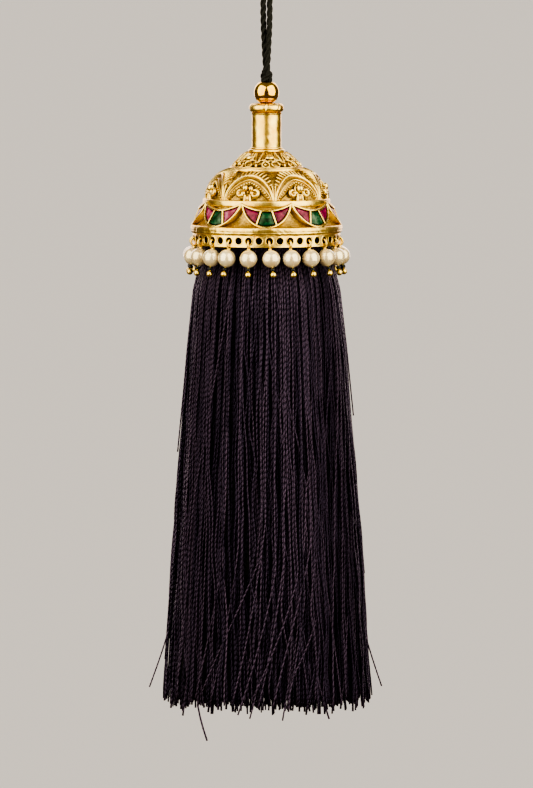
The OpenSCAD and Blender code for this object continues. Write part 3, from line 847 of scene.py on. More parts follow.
rng = np.random.default_rng(12)
tilt, angle, level, away = domeGrid(upperDome)
stipple = rng.normal(0, 1, level.shape)
stipple = (stipple + np.roll(stipple, 1, 1)) / 2
radial = upperDome["radius"] - 0.18 + 0.03 * stipple
hollow = 0.42 + 0.15 * stipple
for archAngle in archAngles:
    offset = wrapped(angle - archAngle)
    x = away * np.sin(np.radians(offset))
    # painted shade low on the dome beside each hanging drop, under the leaves
    corner = smooth(np.abs(x), 0.15, 0.4) * (1 - smooth(np.abs(x), 1.2, 1.6)) * (np.abs(offset) < 40)
    hollow = np.maximum(hollow, corner * (1 - smooth(level, -16.8, -16.3)))
capPiece("capUpperDome", domeSkin(upperDome, radial, tilt, angle), groundGold, hollow=np.clip(hollow, 0, 1))

leafParts = []
addLine, addBead = domeTools(leafParts, upperDome, lineLift=0.14)
for k in range(2 * arch["count"]):
    # over the seams between the arches and over the arches' middles by turns
    turnAngle = arch["frontSeam"] + k * 180 / arch["count"]
    s = np.linspace(0, 1, 10)
    bulge = np.sin(s * math.pi)
    if k % 2 == 0:
        # a smooth bud above two rings, one of which holds a bead
        addBead(turnAngle, 0, -14.8, [1.3, 0.95, 0.5], 0.1)
        a = np.radians(np.linspace(0, 360, 26))
        addLine(turnAngle, -1.3 + 1.0 * np.cos(a), -16.9 + 0.78 * np.sin(a), 0.2, 0.36)
        addLine(turnAngle, 1.45 + 1.1 * np.cos(a) + 0.12 * np.sin(a),
                -16.85 + 0.66 * np.sin(a) - 0.28 * np.cos(a), 0.2, 0.36)
        addBead(turnAngle, -1.45, -16.9, [0.34, 0.32, 0.42], 0.2)
        addBead(turnAngle, -0.35, -17.55, [0.3, 0.28, 0.36], 0.2)
        for side in (-1, 1):
            addLine(turnAngle, side * (0.1 + 1.5 * s), -15.85 - 0.3 * bulge + 0.3 * s, 0.16, 0.3)
    else:
        # two pointed leaves with raised edges over a hanging drop
        for side in (-1, 1):
            for inset, thick in ((0.0, 0.2), (0.4, 0.13)):
                for bow, grow, fall, less in ((-0.75, 0.9, 2.7, 2.6), (1.0, -1.2, 2.2, 2.2)):
                    addLine(turnAngle, side * (0.95 + (bow + grow * inset) * s ** 0.8),
                            -13.75 - 1.3 * inset - (fall - less * inset) * s, thick, 0.36)
            addLine(turnAngle, side * (1.9 + 0.25 * bulge), -13.9 - 1.9 * s, 0.17, 0.34)
            addLine(turnAngle, side * (0.2 + 1.75 * s), -16.35 + 0.45 * bulge + 0.35 * s, 0.16, 0.32)
        addBead(turnAngle, 0, -17.15, [0.36, 0.62, 0.5], 0.3)
leafLift = liftOver(leafParts, upperDome)
# painted shade: the leaves are coloured darker where they stand low over the ground
capPiece("capUpperLeaves", leafParts, reliefGold, hollow=0.8 * (1 - smooth(leafLift, 0.0, 0.3)))
print("upper dome made")


# Crescent settings

crescent = {
    "count": 8, "halfWidth": 7.05, "topSag": 2.0, "footSag": 7.05, "tipLevel": -26.8,
    "faceTop": (18.0, -26.9), "faceFoot": (21.2, -34.5),
    "frame": 0.6, "divider": 0.5, "wedgeApex": 2.0, "wedgeAngle": 19.5,
    "pocket": 0.6, "stoneGap": 0.06, "stoneDrop": 0.15, "bevel": 0.42, "floorInset": 0.42,
    # rows across the bezel: how far in, how deep, and how dark, painted shade on its outer wall and on the
    # walls beside the stones
    "bezel": [(0.0, 2.6, 1.0), (0.0, 0.16, 0.5), (0.03, 0.05, 0.1), (0.14, -0.06, 0), (0.28, -0.1, 0),
              (0.42, -0.06, 0), (0.56, 0.05, 0.1), (0.6, 0.16, 0.9), (0.6, 0.62, 1.0)],
    # rows across a bar between two stones: how far from its middle, how deep, and how dark, painted shade on
    # its sides
    "bar": [(-0.25, 0.62, 1.0), (-0.25, 0.14, 0.9), (-0.18, 0.02, 0.1), (0.0, -0.05, 0), (0.18, 0.02, 0.1),
            (0.25, 0.14, 0.9), (0.25, 0.62, 1.0)],
    # how worn and milky each stone is, from the front one round to the right: left red, green, right red
    "milk": [(0.1, -0.1, -0.15), (0.3, 0.55, -0.1), (0.0, 0.2, 0.3), (0.4, 0.0, 0.1), (-0.1, 0.4, 0.2),
             (0.2, 0.1, 0.5), (0.0, 0.45, 0.1), (0.5, 0.1, 0.6)],
}
faceSlope = ((crescent["faceFoot"][0] - crescent["faceTop"][0])
             / (crescent["faceFoot"][1] - crescent["faceTop"][1]))
faceLean = 1 / math.hypot(1, faceSlope)


def onFace(turnAngle, x, level, depth):
    # a place on the crescents' sloping face, seen from the front, and so deep under it
    x, level, depth = np.broadcast_arrays(x, level, depth)
    away = crescent["faceTop"][0] + (level - crescent["faceTop"][1]) * faceSlope - depth / faceLean
    y = -np.sqrt(np.maximum(away ** 2 - x ** 2, 0.01))
    a = math.radians(turnAngle)
    return np.stack([x * math.cos(a) - y * math.sin(a), x * math.sin(a) + y * math.cos(a),
                     level + capTop], -1)


def crescentCircles(inset):
    half, top, foot = crescent["halfWidth"], crescent["topSag"], crescent["footSag"]
    footR = (half ** 2 + foot ** 2) / (2 * foot)
    topR = (half ** 2 + top ** 2) / (2 * top)
    footZ = crescent["tipLevel"] - foot + footR
    topZ = crescent["tipLevel"] - top + topR
    a, b, gap = footR - inset, topR + inset, topZ - footZ
    tipZ = (a * a - b * b + gap * gap) / (2 * gap)
    tipX = math.sqrt(a * a - tipZ * tipZ)
    return {"footR": a, "footZ": footZ, "footHalf": math.atan2(tipX, -tipZ),
            "topR": b, "topZ": topZ, "topHalf": math.asin(tipX / b)}


def crescentPlace(circles, along, across):
    # along runs from tip to tip, -1 to 1, and across from the top edge to the foot edge, 0 to 1
    fa, ta = along * circles["footHalf"], along * circles["topHalf"]
    x = (1 - across) * circles["topR"] * np.sin(ta) + across * circles["footR"] * np.sin(fa)
    z = ((1 - across) * (circles["topZ"] - circles["topR"] * np.cos(ta))
         + across * (circles["footZ"] - circles["footR"] * np.cos(fa)))
    return x, z


def wedgeReach(x, level, grow):
    # how far a place lies inside the middle stone's wedge, negative outside
    a = math.radians(crescent["wedgeAngle"])
    apex = crescent["tipLevel"] + crescent["wedgeApex"] + grow / math.sin(a)
    return (apex - level) * math.sin(a) - np.abs(x) * math.cos(a)


def stoneMesh(turnAngle, x, z, edgeDistance):
    # a cut stone: bevelled edge, slightly domed table, flat back
    bevel = 1 - np.clip(edgeDistance / crescent["bevel"], 0, 1)
    depth = crescent["stoneDrop"] + 0.30 * bevel ** 1.5 - 0.05 * smooth(edgeDistance, 0.4, 1.2)
    top = onFace(turnAngle, x, z, depth)
    bottom = onFace(turnAngle, x, z, crescent["pocket"] - crescent["stoneGap"])
    rows, columns = x.shape
    ring = np.concatenate([np.arange(columns), np.arange(1, rows) * columns + columns - 1,
                           (rows - 1) * columns + np.arange(columns - 2, -1, -1),
                           np.arange(rows - 2, 0, -1) * columns])
    after = np.roll(ring, -1)
    count = rows * columns
    wall = np.stack([ring, ring + count, after + count, after], -1)
    faces = np.concatenate([gridFaces(rows, columns), gridFaces(rows, columns, flip=True) + count, wall])
    return np.concatenate([top.reshape(-1, 3), bottom.reshape(-1, 3)]), faces


stoneCircles = crescentCircles(crescent["frame"] + crescent["stoneGap"])
barCircles = crescentCircles(crescent["frame"] / 2)


def edgeDistances(x, z, wedge):
    foot = stoneCircles["footR"] - np.hypot(x, z - stoneCircles["footZ"])
    top = np.hypot(x, z - stoneCircles["topZ"]) - stoneCircles["topR"]
    return np.maximum(np.minimum(np.minimum(foot, top), wedge), 0)


def rayReach(apex, fall, circles, edge):
    # how far a ray from the apex runs to a crescent edge's circle, at its far side
    rise = apex - circles[edge + "Z"]
    b = fall * rise
    return -b + np.sqrt(b * b - (rise * rise - circles[edge + "R"] * circles[edge + "R"]))


# middle stone: rays from the wedge's own apex, each cut by the two arcs
gapGrow = crescent["divider"] / 2 + crescent["stoneGap"]
wedgeRad = math.radians(crescent["wedgeAngle"])
barApex = crescent["tipLevel"] + crescent["wedgeApex"]
apexLevel = barApex - gapGrow / math.sin(wedgeRad)
spread = np.sin(np.linspace(-math.pi / 2, math.pi / 2, 19)) * wedgeRad
share = (0.5 - 0.5 * np.cos(np.linspace(0, math.pi, 17)))[:, None]
dx, dz = np.sin(spread), -np.cos(spread)
reach = (rayReach(apexLevel, dz, stoneCircles, "foot") * (1 - share)
         + rayReach(apexLevel, dz, stoneCircles, "top") * share)
middleX, middleZ = reach * dx, apexLevel + reach * dz
middleEdge = edgeDistances(middleX, middleZ, wedgeReach(middleX, middleZ, -gapGrow))

# outer stone: from the wedge's line, found by halving, to the tip
across = 0.5 + 0.5 * np.cos(np.linspace(0, math.pi, 15))
low, high = np.zeros(15), np.full(15, 0.98)
for _ in range(40):
    mid = (low + high) / 2
    inWedge = wedgeReach(*crescentPlace(stoneCircles, mid, across), gapGrow) > 0
    low, high = np.where(inWedge, mid, low), np.where(inWedge, high, mid)
run = 0.5 - 0.5 * np.cos(np.linspace(0, math.pi, 25))
alongGrid = high[:, None] * (1 - run[None, :]) + 0.985 * run[None, :]
outerX, outerZ = crescentPlace(stoneCircles, alongGrid, across[:, None])
outerEdge = edgeDistances(outerX, outerZ, -wedgeReach(outerX, outerZ, gapGrow))

# the bezel's loop runs along the foot edge and back along the top edge
footSteps, topSteps = 56, 44
loopAlong = np.concatenate([np.linspace(-1, 1, footSteps), np.linspace(1, -1, topSteps)[1:-1]])
loopAcross = np.concatenate([np.ones(footSteps), np.zeros(topSteps - 2)])
bezelX, bezelZ = np.moveaxis([crescentPlace(crescentCircles(row[0]), loopAlong, loopAcross)
                              for row in crescent["bezel"]], 1, 0)
bezelDepth, bezelShade = np.array(crescent["bezel"])[:, 1:, None].repeat(len(loopAlong), 2).transpose(1, 0, 2)
barOff, barDepth, barShade = np.array(crescent["bar"]).T
barLine = np.linspace(0, 1, 9)[:, None]
floorX, floorZ = crescentPlace(crescentCircles(crescent["floorInset"]), np.linspace(-0.97, 0.97, 30)[None, :],
                               np.linspace(1, 0, 8)[:, None])

frameParts, frameShade, floorParts = [], [], []
stones = {"ruby": ([], [], []), "emerald": ([], [], [])}     # parts, distance from the edge, and milkiness


def addStone(kind, turnAngle, x, z, edge, milk):
    parts, edges, milks = stones[kind]
    parts.append(stoneMesh(turnAngle, x, z, edge))
    edges.append(np.concatenate([edge.ravel(), np.zeros(edge.size)]))
    milks.append(np.full(2 * edge.size, milk))


for i in range(crescent["count"]):
    turnAngle = i * 360 / crescent["count"]
    frameParts.append((onFace(turnAngle, bezelX, bezelZ, bezelDepth), gridFaces(*bezelX.shape, wrap=True)))
    frameShade.append(bezelShade.ravel())
    for side in (-1, 1):
        fall, aside = -math.cos(wedgeRad), side * math.sin(wedgeRad)
        start, end = (rayReach(barApex, fall, barCircles, edge) for edge in ("top", "foot"))
        at = start + (end - start) * barLine
        barX, barZ = aside * at + math.cos(wedgeRad) * barOff, barApex + fall * at + aside * barOff
        frameParts.append((onFace(turnAngle, barX, barZ, barDepth), gridFaces(*barX.shape, flip=True)))
        frameShade.append(np.tile(barShade, len(at)))
        x, z, edge = (grid if side > 0 else grid[:, ::-1] for grid in (outerX, outerZ, outerEdge))
        addStone("ruby", turnAngle, x * side, z, edge, crescent["milk"][i][side + 1])
    addStone("emerald", turnAngle, middleX, middleZ, middleEdge, crescent["milk"][i][1])
    floorParts.append((onFace(turnAngle, floorX, floorZ, crescent["pocket"]), gridFaces(*floorX.shape)))

frameGold = goldMaterial("burnishedGoldBezel", {
    "deep": "#E2BC66", "mid": "#EDD084", "pale": "#F6E09C", "patinaAndShade": "#4A2A0A", "pits": 0.12,
    "rough": (0.2, 0.32), "blotch": 1.5, "grain": 0.3, "dent": 0.8, "grainDepth": 0.01, "dentDepth": 0.025,
})
capPiece("crescentFrames", frameParts, frameGold, 60, np.concatenate(frameShade))
# painted shade: the pocket floors behind the stones are coloured dark
capPiece("crescentFloors", floorParts, groundGold, hollow=np.full(len(joinParts(floorParts)[0]), 0.9))


def makeStones(kind, look):
    # Foil-backed glass stone: deep colour with painted shade darkening it towards the edges, a milky bloom
    # where the table is scratched
    material, tree, shader, place = newMaterial(look["name"], {
        "Roughness": 0.26, "IOR": 1.5, "Coat Weight": 0.12, "Coat Roughness": 0.1, "Specular IOR Level": 0.25,
    })
    cloud = addNode(tree, "TexNoise", {"Scale": perMetre(look["cloud"]), "Detail": 4.0, "Roughness": 0.62},
                    {"Vector": place})
    milk = addNode(tree, "Attribute", {"attribute_name": "milk"})
    haze = addNode(tree, "Math", {"operation": "MULTIPLY_ADD", "use_clamp": True, 1: look["haze"]},
                   {0: milk.outputs["Fac"], 2: cloud})
    tone = addNode(tree, "ValToRGB", {"stops": look["stops"]}, {"Fac": haze})
    # painted shade: the colour darkens towards each stone's edge
    edge = addNode(tree, "Attribute", {"attribute_name": "fromEdge"})
    dim = addNode(tree, "MapRange", {"From Max": 0.45, "To Min": 0.85, "To Max": 0.0},
                  {"Value": edge.outputs["Fac"]})
    colour = addNode(tree, "Mix", {"data_type": "RGBA", 7: toLinear(look["edge"])}, {0: dim, 6: tone})
    facets = addNode(tree, "TexVoronoi", {"Scale": perMetre(look["facet"])}, {"Vector": place})
    bump = addNode(tree, "Bump", {"Distance": 0.05 * mm}, {"Height": facets})
    feed(shader, {"Base Color": colour.outputs[2], "Normal": bump})
    parts, edges, milks = stones[kind]
    makePiece(kind + "Stones", parts, material, (look["node"],), sharp=40,
              values={"fromEdge": np.concatenate(edges), "milk": np.concatenate(milks)})


makeStones("ruby", {
    "name": "foiledRubyGlass", "node": "rubies", "cloud": 1.3, "facet": 1.6, "edge": "#3A0418", "haze": 0.26,
    "stops": [(0.34, "#3C061F"), (0.47, "#660F38"), (0.60, "#821A48"), (0.76, "#A05A80")],
})
makeStones("emerald", {
    "name": "foiledEmeraldGlass", "node": "emeralds", "cloud": 1.4, "facet": 1.7, "edge": "#011408",
    "haze": 0.24,
    "stops": [(0.34, "#021C0C"), (0.48, "#053218"), (0.60, "#0A442A"), (0.78, "#52685E")],
})
print("crescents and stones made")


# Pearl drops

drop = {
    "count": 22, "firstAngle": 2.3, "loopR": 1.15, "wire": 0.56, "stem": 0.44, "ball": 1.75, "ballAt": 8.45,
    "pearl": 5.0, "pearlAt": 4.0, "seed": 1.4, "seedH": 0.9, "seedAt": 7.05, "bore": 0.7,
    "hangR": 20.15, "hangLevel": -79.35, "lean": 10.0,
    "swing": [7, 4, 5, 7, 4, 2, -1, 2, 0, -3, 1, 3, 0, -2, 2, -1, 1, -2, 0, 0, -7, 1],
}


def placed(part, matrix, shift):
    return (np.asarray(part[0], float).reshape(-1, 3) @ matrix.T + shift,) + tuple(part[1:])


# Pearl: nacre over a bead, warm white, mirrors its surroundings under a clear skin, so it shows two soft
# lights
pearlNacre, tree, shader, place = newMaterial("pearlNacre", {
    "Metallic": 0.32, "Roughness": 0.27, "IOR": 1.6, "Specular IOR Level": 0.8, "Coat Weight": 1.0,
    "Coat Roughness": 0.13, "Coat IOR": 2.0, "Subsurface Weight": 0.08, "Subsurface Radius": (1.0, 0.7, 0.45),
    "Subsurface Scale": 0.0008,
})
skin = addNode(tree, "TexNoise", {"Scale": perMetre(3.2), "Detail": 3.0}, {"Vector": place})
tint = addNode(tree, "ValToRGB",
               {"stops": [(0.30, "#D3B893"), (0.45, "#E0CAAA"), (0.60, "#E9D9C0"), (0.75, "#E0CCB8")]},
               {"Fac": skin})
dimple = addNode(tree, "TexNoise", {"Scale": perMetre(0.8), "Detail": 2.0}, {"Vector": place})
bump = addNode(tree, "Bump", {"Distance": 0.012 * mm}, {"Height": dimple})
feed(shader, {"Base Color": tint, "Normal": bump})

# Black glass spacer: hard and half matt, with a faint violet cast
blackGlass, tree, shader, place = newMaterial("blackPressedGlass",
                                              {"Roughness": 0.32, "IOR": 1.5, "Specular IOR Level": 0.35})
cloud = addNode(tree, "TexNoise", {"Scale": perMetre(0.7)}, {"Vector": place})
tone = addNode(tree, "ValToRGB", {"stops": [(0.35, "#050406"), (0.7, "#120E15")]}, {"Fac": cloud})
feed(shader, {"Base Color": tone})


def pearlShape(rng):
    # a bead a little out of round, with its drilled hole
    mouth = math.degrees(math.acos((drop["bore"] / 2 + 0.08) / (drop["pearl"] / 2)))
    r = drop["pearl"] / 2
    profile = np.concatenate([arcPoints((0, 0), r, -mouth, mouth, 30), [(drop["bore"] / 2, r - 0.12)],
                              [(drop["bore"] / 2, 0.12 - r)]])
    points, faces = turned(profile, 44, closed=True)
    spots = unit(rng.normal(size=(5, 3)))
    way = unit(points)
    swell = sum(np.exp(6 * (way @ s - 1)) for s in spots)
    return points * (1 + 0.008 * (swell[..., None] - 0.6) * rng.uniform(0.5, 1.2)), faces


def pinShape():
    wire, stemR, ballR, foot = drop["wire"] / 2, drop["stem"] / 2, drop["ball"] / 2, -drop["ballAt"]
    a = np.linspace(0, 2 * math.pi, 37)
    loop = drop["loopR"] * np.stack([np.zeros_like(a), np.sin(a), np.cos(a)], -1)
    # two turns of wire close the loop above the pearl
    wraps = np.linspace(0, 2 * math.pi * 2.2, 44)
    coil = np.stack([0.36 * np.cos(wraps), 0.36 * np.sin(wraps), -1.18 - 0.42 * wraps / wraps[-1]], -1)
    stem = np.array([[0, 0, -1.0], [0, 0, -3], [0, 0, -6], [0, 0, foot]])
    return [swept(loop, loop / drop["loopR"], wire, wire, 10), swept(coil, coil * [1, 1, 0], 0.17, 0.17, 8),
            swept(stem, np.array([[1.0, 0, 0]] * 4), stemR, stemR, 12),
            balls([[0, 0, foot]], np.eye(3)[None], [ballR] * 3, 24, 16)]


def seedShape():
    w, h, b = drop["seed"] / 2, drop["seedH"] / 2, drop["bore"] / 2
    profile = [(b, -h), (w - 0.25, -h), (w - 0.08, -h + 0.09), (w, -h + 0.27), (w, h - 0.27),
               (w - 0.08, h - 0.09), (w - 0.25, h), (b, h)]
    return turned(profile, 24, closed=True)


rng = np.random.default_rng(22)
pin, seed, seedParts = pinShape(), seedShape(), []
for i in range(drop["count"]):
    spin = turnAbout("z", math.radians(drop["firstAngle"] + i * 360 / drop["count"]))
    matrix = (spin @ turnAbout("y", math.radians(-drop["swing"][i]))
              @ turnAbout("x", math.radians(-drop["lean"])))
    shift = spin @ np.array([0, -drop["hangR"], drop["hangLevel"]])
    own = turnAbout("z", rng.uniform(0, 2 * math.pi))
    pearl = placed(pearlShape(rng), matrix @ own, shift + matrix @ np.array([0, 0, -drop["pearlAt"]]))
    number = f"{i + 1:02d}"
    makePiece("pearl" + number, [pearl], pearlNacre, (f"pearl_{number}",))
    makePiece("pin" + number, [placed(p, matrix, shift) for p in pin], wireGold,
              (f"pin_{number}",))
    seedParts.append(placed(seed, matrix, shift + matrix @ np.array([0, 0, -drop["seedAt"]])))
makePiece("spacers", seedParts, blackGlass, ("seed_beads",), sharp=50)
print("pearl drops made")


# Tassel

tassel = {
    # distance below the hang point and radius of the outer form
    "form": [(72, 16.4), (76, 17.6), (79.5, 18), (86, 18.2), (88, 19.3), (93, 20.5), (109.7, 22), (123.7, 23),
             (137.6, 24), (151.5, 24.8), (165.4, 25.8), (179.4, 26.6), (193.3, 27.3), (204.4, 28.0),
             (212, 28.3)],
    "top": 73.0, "end": 207.6,
    "thread": 0.56,       # thickness of one twisted thread
    "twist": 3.2,         # length of one full turn of its two plies
    "steps": 46, "sides": 4,
    "layers": [(0.3, 235), (0.95, 225), (1.65, 205), (2.3, 150)],
    # threads: how uneven their ends are, how far past the end they may reach, and share of short ones
    "endSpread": 1.3, "endPast": 1.6, "short": 0.06,
    # locks: how far their threads are drawn together, degrees between the locks of one layer and the next,
    # drift at the end, sway of three waves, and mean and spread in and out
    "locks": 44, "pull": 0.42, "lockTurn": 2.9, "drift": 2.9, "sway": (0.9, 0.6, 0.4), "inOut": (-0.35, 0.85),
    # how far a thread wavers sideways and in and out, the slowest wave first
    "waver": ((0.95, 0.35), (0.62, 0.3), (0.34, 0.22), (0.17, 0.12)),
    "toneAndDepthShade": (0.62, 0.34, 0.16, 0.06),    # painted shade: how light each layer's threads are coloured, darker deeper in, from the outermost in
    "aslant": (0.24, 0.1, 0.1, 0.1),      # share of each layer's threads that cross the others
}
formDepth = np.array([p[0] for p in tassel["form"]])
formRadius = np.array([p[1] for p in tassel["form"]])


def threadPiece(name, paths, radii, toneAndDepthShade, material):
    # many threads in one mesh: paths are threads, points, places
    threads, steps, _ = paths.shape
    sides = tassel["sides"]
    along = unit(np.gradient(paths, axis=1))
    outward = unit(paths * [1, 1, 0])
    across = unit(np.cross(along, outward))
    up = np.cross(across, along)
    a = (np.arange(sides) + 0.5) * 2 * math.pi / sides
    rings = (paths[:, :, None] + radii[:, :, None, None]
             * (np.cos(a)[:, None] * across[:, :, None] + np.sin(a)[:, None] * up[:, :, None]))
    lastRing = (steps - 1) * sides + np.arange(sides)[None, ::-1]
    faces = np.concatenate([gridFaces(steps, sides, wrap=True, flip=True), lastRing])
    quads = (faces[None] + (np.arange(threads) * steps * sides)[:, None, None]).reshape(-1, 4)
    walked = np.concatenate([np.zeros((threads, 1)),
                             np.cumsum(np.linalg.norm(np.diff(paths, axis=1), axis=2), axis=1)], 1)
    i, j = np.meshgrid(np.arange(steps - 1), np.arange(sides), indexing="ij")
    # corners in the same order as the flipped quads
    u = np.stack([walked[:, i + 1], walked[:, i + 1], walked[:, i], walked[:, i]], -1).reshape(threads, -1, 4)
    # every thread has its own start and pitch of twist, and one ply passes per turn so that it shows from
    # afar
    own = np.random.default_rng(threads)
    u = u * own.uniform(0.85, 1.2, (threads, 1, 1)) + own.uniform(0, 10, (threads, 1, 1))
    v = np.broadcast_to(np.stack([j, j + 1, j + 1, j], -1).reshape(-1, 4) / sides / 2, u.shape)
    lastUv = np.broadcast_to(walked[:, -1][:, None, None, None], (threads, 1, 4, 2))
    uv = np.concatenate([np.stack([u, v], -1), lastUv], 1).reshape(-1, 2)
    makePiece(name, [(rings.reshape(-1, 3), quads)], material, ("tassel",),
              values={"tint": np.repeat(toneAndDepthShade, steps * sides)}, uv=uv)


# Twisted viscose thread, dyed black-aubergine: silky plies that show as short violet glints, with painted
# shade, near black, in the grooves between the plies
silkThread, tree, shader, place = newMaterial("twistedViscoseThread", {
    "Roughness": 0.42, "Specular IOR Level": 0.4, "Specular Tint": toLinear("#CDB4FF"), "Sheen Weight": 0.11,
    "Sheen Roughness": 0.35, "Sheen Tint": toLinear("#8C68A0"),
})
line = addNode(tree, "UVMap", {"uv_map": "thread"})
split = addNode(tree, "SeparateXYZ", None, {"Vector": line})
turns = addNode(tree, "Math", {"operation": "MULTIPLY_ADD", 1: 1 / tassel["twist"]},
                {0: split.outputs["X"], 2: split.outputs["Y"]})
plies = addNode(tree, "Math", {"operation": "MULTIPLY", 1: 2 * math.pi}, {0: turns})
wave = addNode(tree, "Math", {"operation": "SINE"}, {0: plies})
ridge = addNode(tree, "Math", {"operation": "ABSOLUTE"}, {0: wave})
# each thread's own tone, with painted shade making the inner layers darker
tint = addNode(tree, "Attribute", {"attribute_name": "tint"})
dyeAndDepthShade = addNode(tree, "ValToRGB", {"stops": [(0.0, "#070508"), (0.5, "#1F1826"), (1.0, "#4A3D52")]},
              {"Fac": tint.outputs["Fac"]})
# painted shade: the colour goes near black in the grooves between the plies
shade = addNode(tree, "MapRange", {"From Min": 0.1, "From Max": 0.85, "To Min": 0.95, "To Max": 0.0},
                {"Value": ridge})
tone = addNode(tree, "Mix", {"data_type": "RGBA", 7: toLinear("#050305")}, {0: shade, 6: dyeAndDepthShade})
bump = addNode(tree, "Bump", {"Distance": 0.24 * mm}, {"Height": ridge})
feed(shader, {"Base Color": tone.outputs[2], "Normal": bump})

# The packed threads deeper in, hardly lit: painted shade, the core is coloured near black
coreThread, tree, shader, place = newMaterial("packedThreadCore", {"Roughness": 0.8})
cloud = addNode(tree, "TexNoise", {"Scale": perMetre(0.6), "Detail": 3.0}, {"Vector": place})
tone = addNode(tree, "ValToRGB", {"stops": [(0.3, "#030203"), (0.7, "#0A070A")]}, {"Fac": cloud})
feed(shader, {"Base Color": tone})


def threadPaths(rng, inset, count, share, lockTurn):
    # hanging threads of one layer, drawn together in locks that drift apart downwards
    s = np.linspace(0, 1, tassel["steps"])[None, :]
    start = (np.arange(count) + rng.uniform(-0.4, 0.4, count)) * 360 / count
    lock = np.floor((start + lockTurn) / 360 * tassel["locks"]).astype(int)
    lockCentre = (lock + 0.5) * 360 / tassel["locks"] - lockTurn
    lock = lock % tassel["locks"]
    end = tassel["end"] + rng.normal(0, tassel["endSpread"], count) - 0.9
    short = rng.uniform(size=count) < tassel["short"]
    end = np.where(short, end - rng.uniform(2, 9, count), np.minimum(end, tassel["end"] + tassel["endPast"]))
    depth = tassel["top"] + (end[:, None] - tassel["top"]) * s
    radius = np.interp(depth, formDepth, formRadius) - inset
    gather = smooth(s, 0.04, 0.35)
    drift = lockDrift[lock][:, None] * s ** 1.4
    sway = sum(lockSway[lock, k][:, None]
               * np.sin(2 * math.pi * (s * (k + 1) * 0.8 + lockPhase[lock, k][:, None])) * s
               for k in range(3))
    own, inOut = np.zeros_like(depth), np.zeros_like(depth)
    for k, (wide, deep) in enumerate(tassel["waver"]):
        freq = rng.uniform(0.7, 1.4, (count, 1)) * (1.2 * 2 ** k)
        own += (wide * rng.normal(0, 0.7, (count, 1))
                * np.sin(2 * math.pi * (freq * s + rng.uniform(size=(count, 1)))))
        inOut += (deep * rng.normal(0, 0.7, (count, 1))
                  * np.sin(2 * math.pi * (freq * s + rng.uniform(size=(count, 1)))))
    slant = np.where(rng.uniform(size=count) < share, rng.normal(0, 8, count), 0)[:, None] * s ** 1.2
    lean = rng.normal(0, 1.8, (count, 1)) * s
    loose = smooth(s, 0.02, 0.25)
    shift = drift + sway * loose + own * loose * (0.45 + 0.55 * s) + slant + lean
    radius = radius + (lockDepth[lock][:, None] * s + inOut * (0.3 + 0.7 * s)) * loose
    pulled = start[:, None] + (lockCentre - start)[:, None] * tassel["pull"] * gather
    return roundAbout(radius, pulled + np.degrees(shift / radius), -depth)


rng = np.random.default_rng(73)
lockDrift = rng.normal(0, tassel["drift"], tassel["locks"])
lockSway = rng.normal(0, 1, (tassel["locks"], 3)) * tassel["sway"]
lockPhase = rng.uniform(0, 1, (tassel["locks"], 3))
lockDepth = rng.normal(*tassel["inOut"], tassel["locks"])
for n, (inset, count) in enumerate(tassel["layers"]):
    paths = threadPaths(rng, inset, count, tassel["aslant"][n], tassel["lockTurn"] * n)
    radii = tassel["thread"] / 2 * rng.uniform(0.8, 1.12, (count, 1)) * np.ones((1, tassel["steps"]))
    toneAndDepthShade = np.clip(rng.normal(tassel["toneAndDepthShade"][n], 0.2, count), 0, 1)
    threadPiece(f"tasselThreads{n + 1}", paths, radii, toneAndDepthShade, silkThread)

# single threads that have come loose: angle, how far they swing out and sideways, their end and where
# they leave
strays = [(-84, 5.0, 0, 203.6, 0.86), (85, 4.4, 0, 203.4, 0.86), (-42, 0.2, 4.0, 216.6, 0.93),
          (-88, 1.0, 0, 196, 0.55), (89, 1.2, 0, 172, 0.5), (-86, 0.9, 1, 138, 0.3),
          (92, 1.0, -1, 128, 0.3), (-4, 1.1, -16.5, 203, 0.7), (6, 0.9, -11.5, 209, 0.7),
          (19, 1.2, -13.5, 204, 0.74), (24, 1.0, -7, 206, 0.78), (12, 1.0, -9, 207, 0.68),
          (-18, 0.8, -7, 206, 0.66), (38, 0.9, 4, 207, 0.75), (-30, 0.8, -6, 205, 0.72),
          (31, 1.2, -9, 199, 0.86), (0, 0.9, -10, 206, 0.62), (28, 0.9, -12, 207, 0.66),
          (150, 0.9, -12, 205, 0.7), (175, 0.5, 11, 206, 0.72), (-160, 0.4, -9, 205, 0.75),
          (104, 0.5, 10, 205, 0.7), (-100, 0.5, 9, 206, 0.74), (62, 0.4, -8, 206, 0.72),
          (-64, 0.4, 7, 207, 0.75), (14, 0.6, -2, 210.5, 0.9), (-52, 1.0, -1, 210.2, 0.9),
          (30, 0.4, 3, 210.6, 0.92), (-4, 0.3, -2, 210, 0.94), (140, 3.4, 0, 203, 0.7),
          (-150, 4.2, 0, 206, 0.75), (178, 1.6, 2, 211, 0.85), (-118, 0.8, 3, 210, 0.9)]
s = np.linspace(0, 1, tassel["steps"])[None, :]
about, swingOut, sideways, ends, leave = (np.array(column)[:, None] for column in zip(*strays))
depth = tassel["top"] + (ends - tassel["top"]) * s
out = np.clip((s - leave) / (1 - leave), 0, 1) ** 1.15
radius = np.interp(depth, formDepth, formRadius) - 0.1 + swingOut * out
angle = about + np.degrees((0.7 * np.sin(9 * s + about) * s + sideways * out) / radius)
paths = roundAbout(radius, angle, -depth)
thin = tassel["thread"] / 2 * 0.9 * np.ones((len(strays), tassel["steps"]))
threadPiece("looseThreads", paths, thin, np.full(len(strays), 0.85), silkThread)

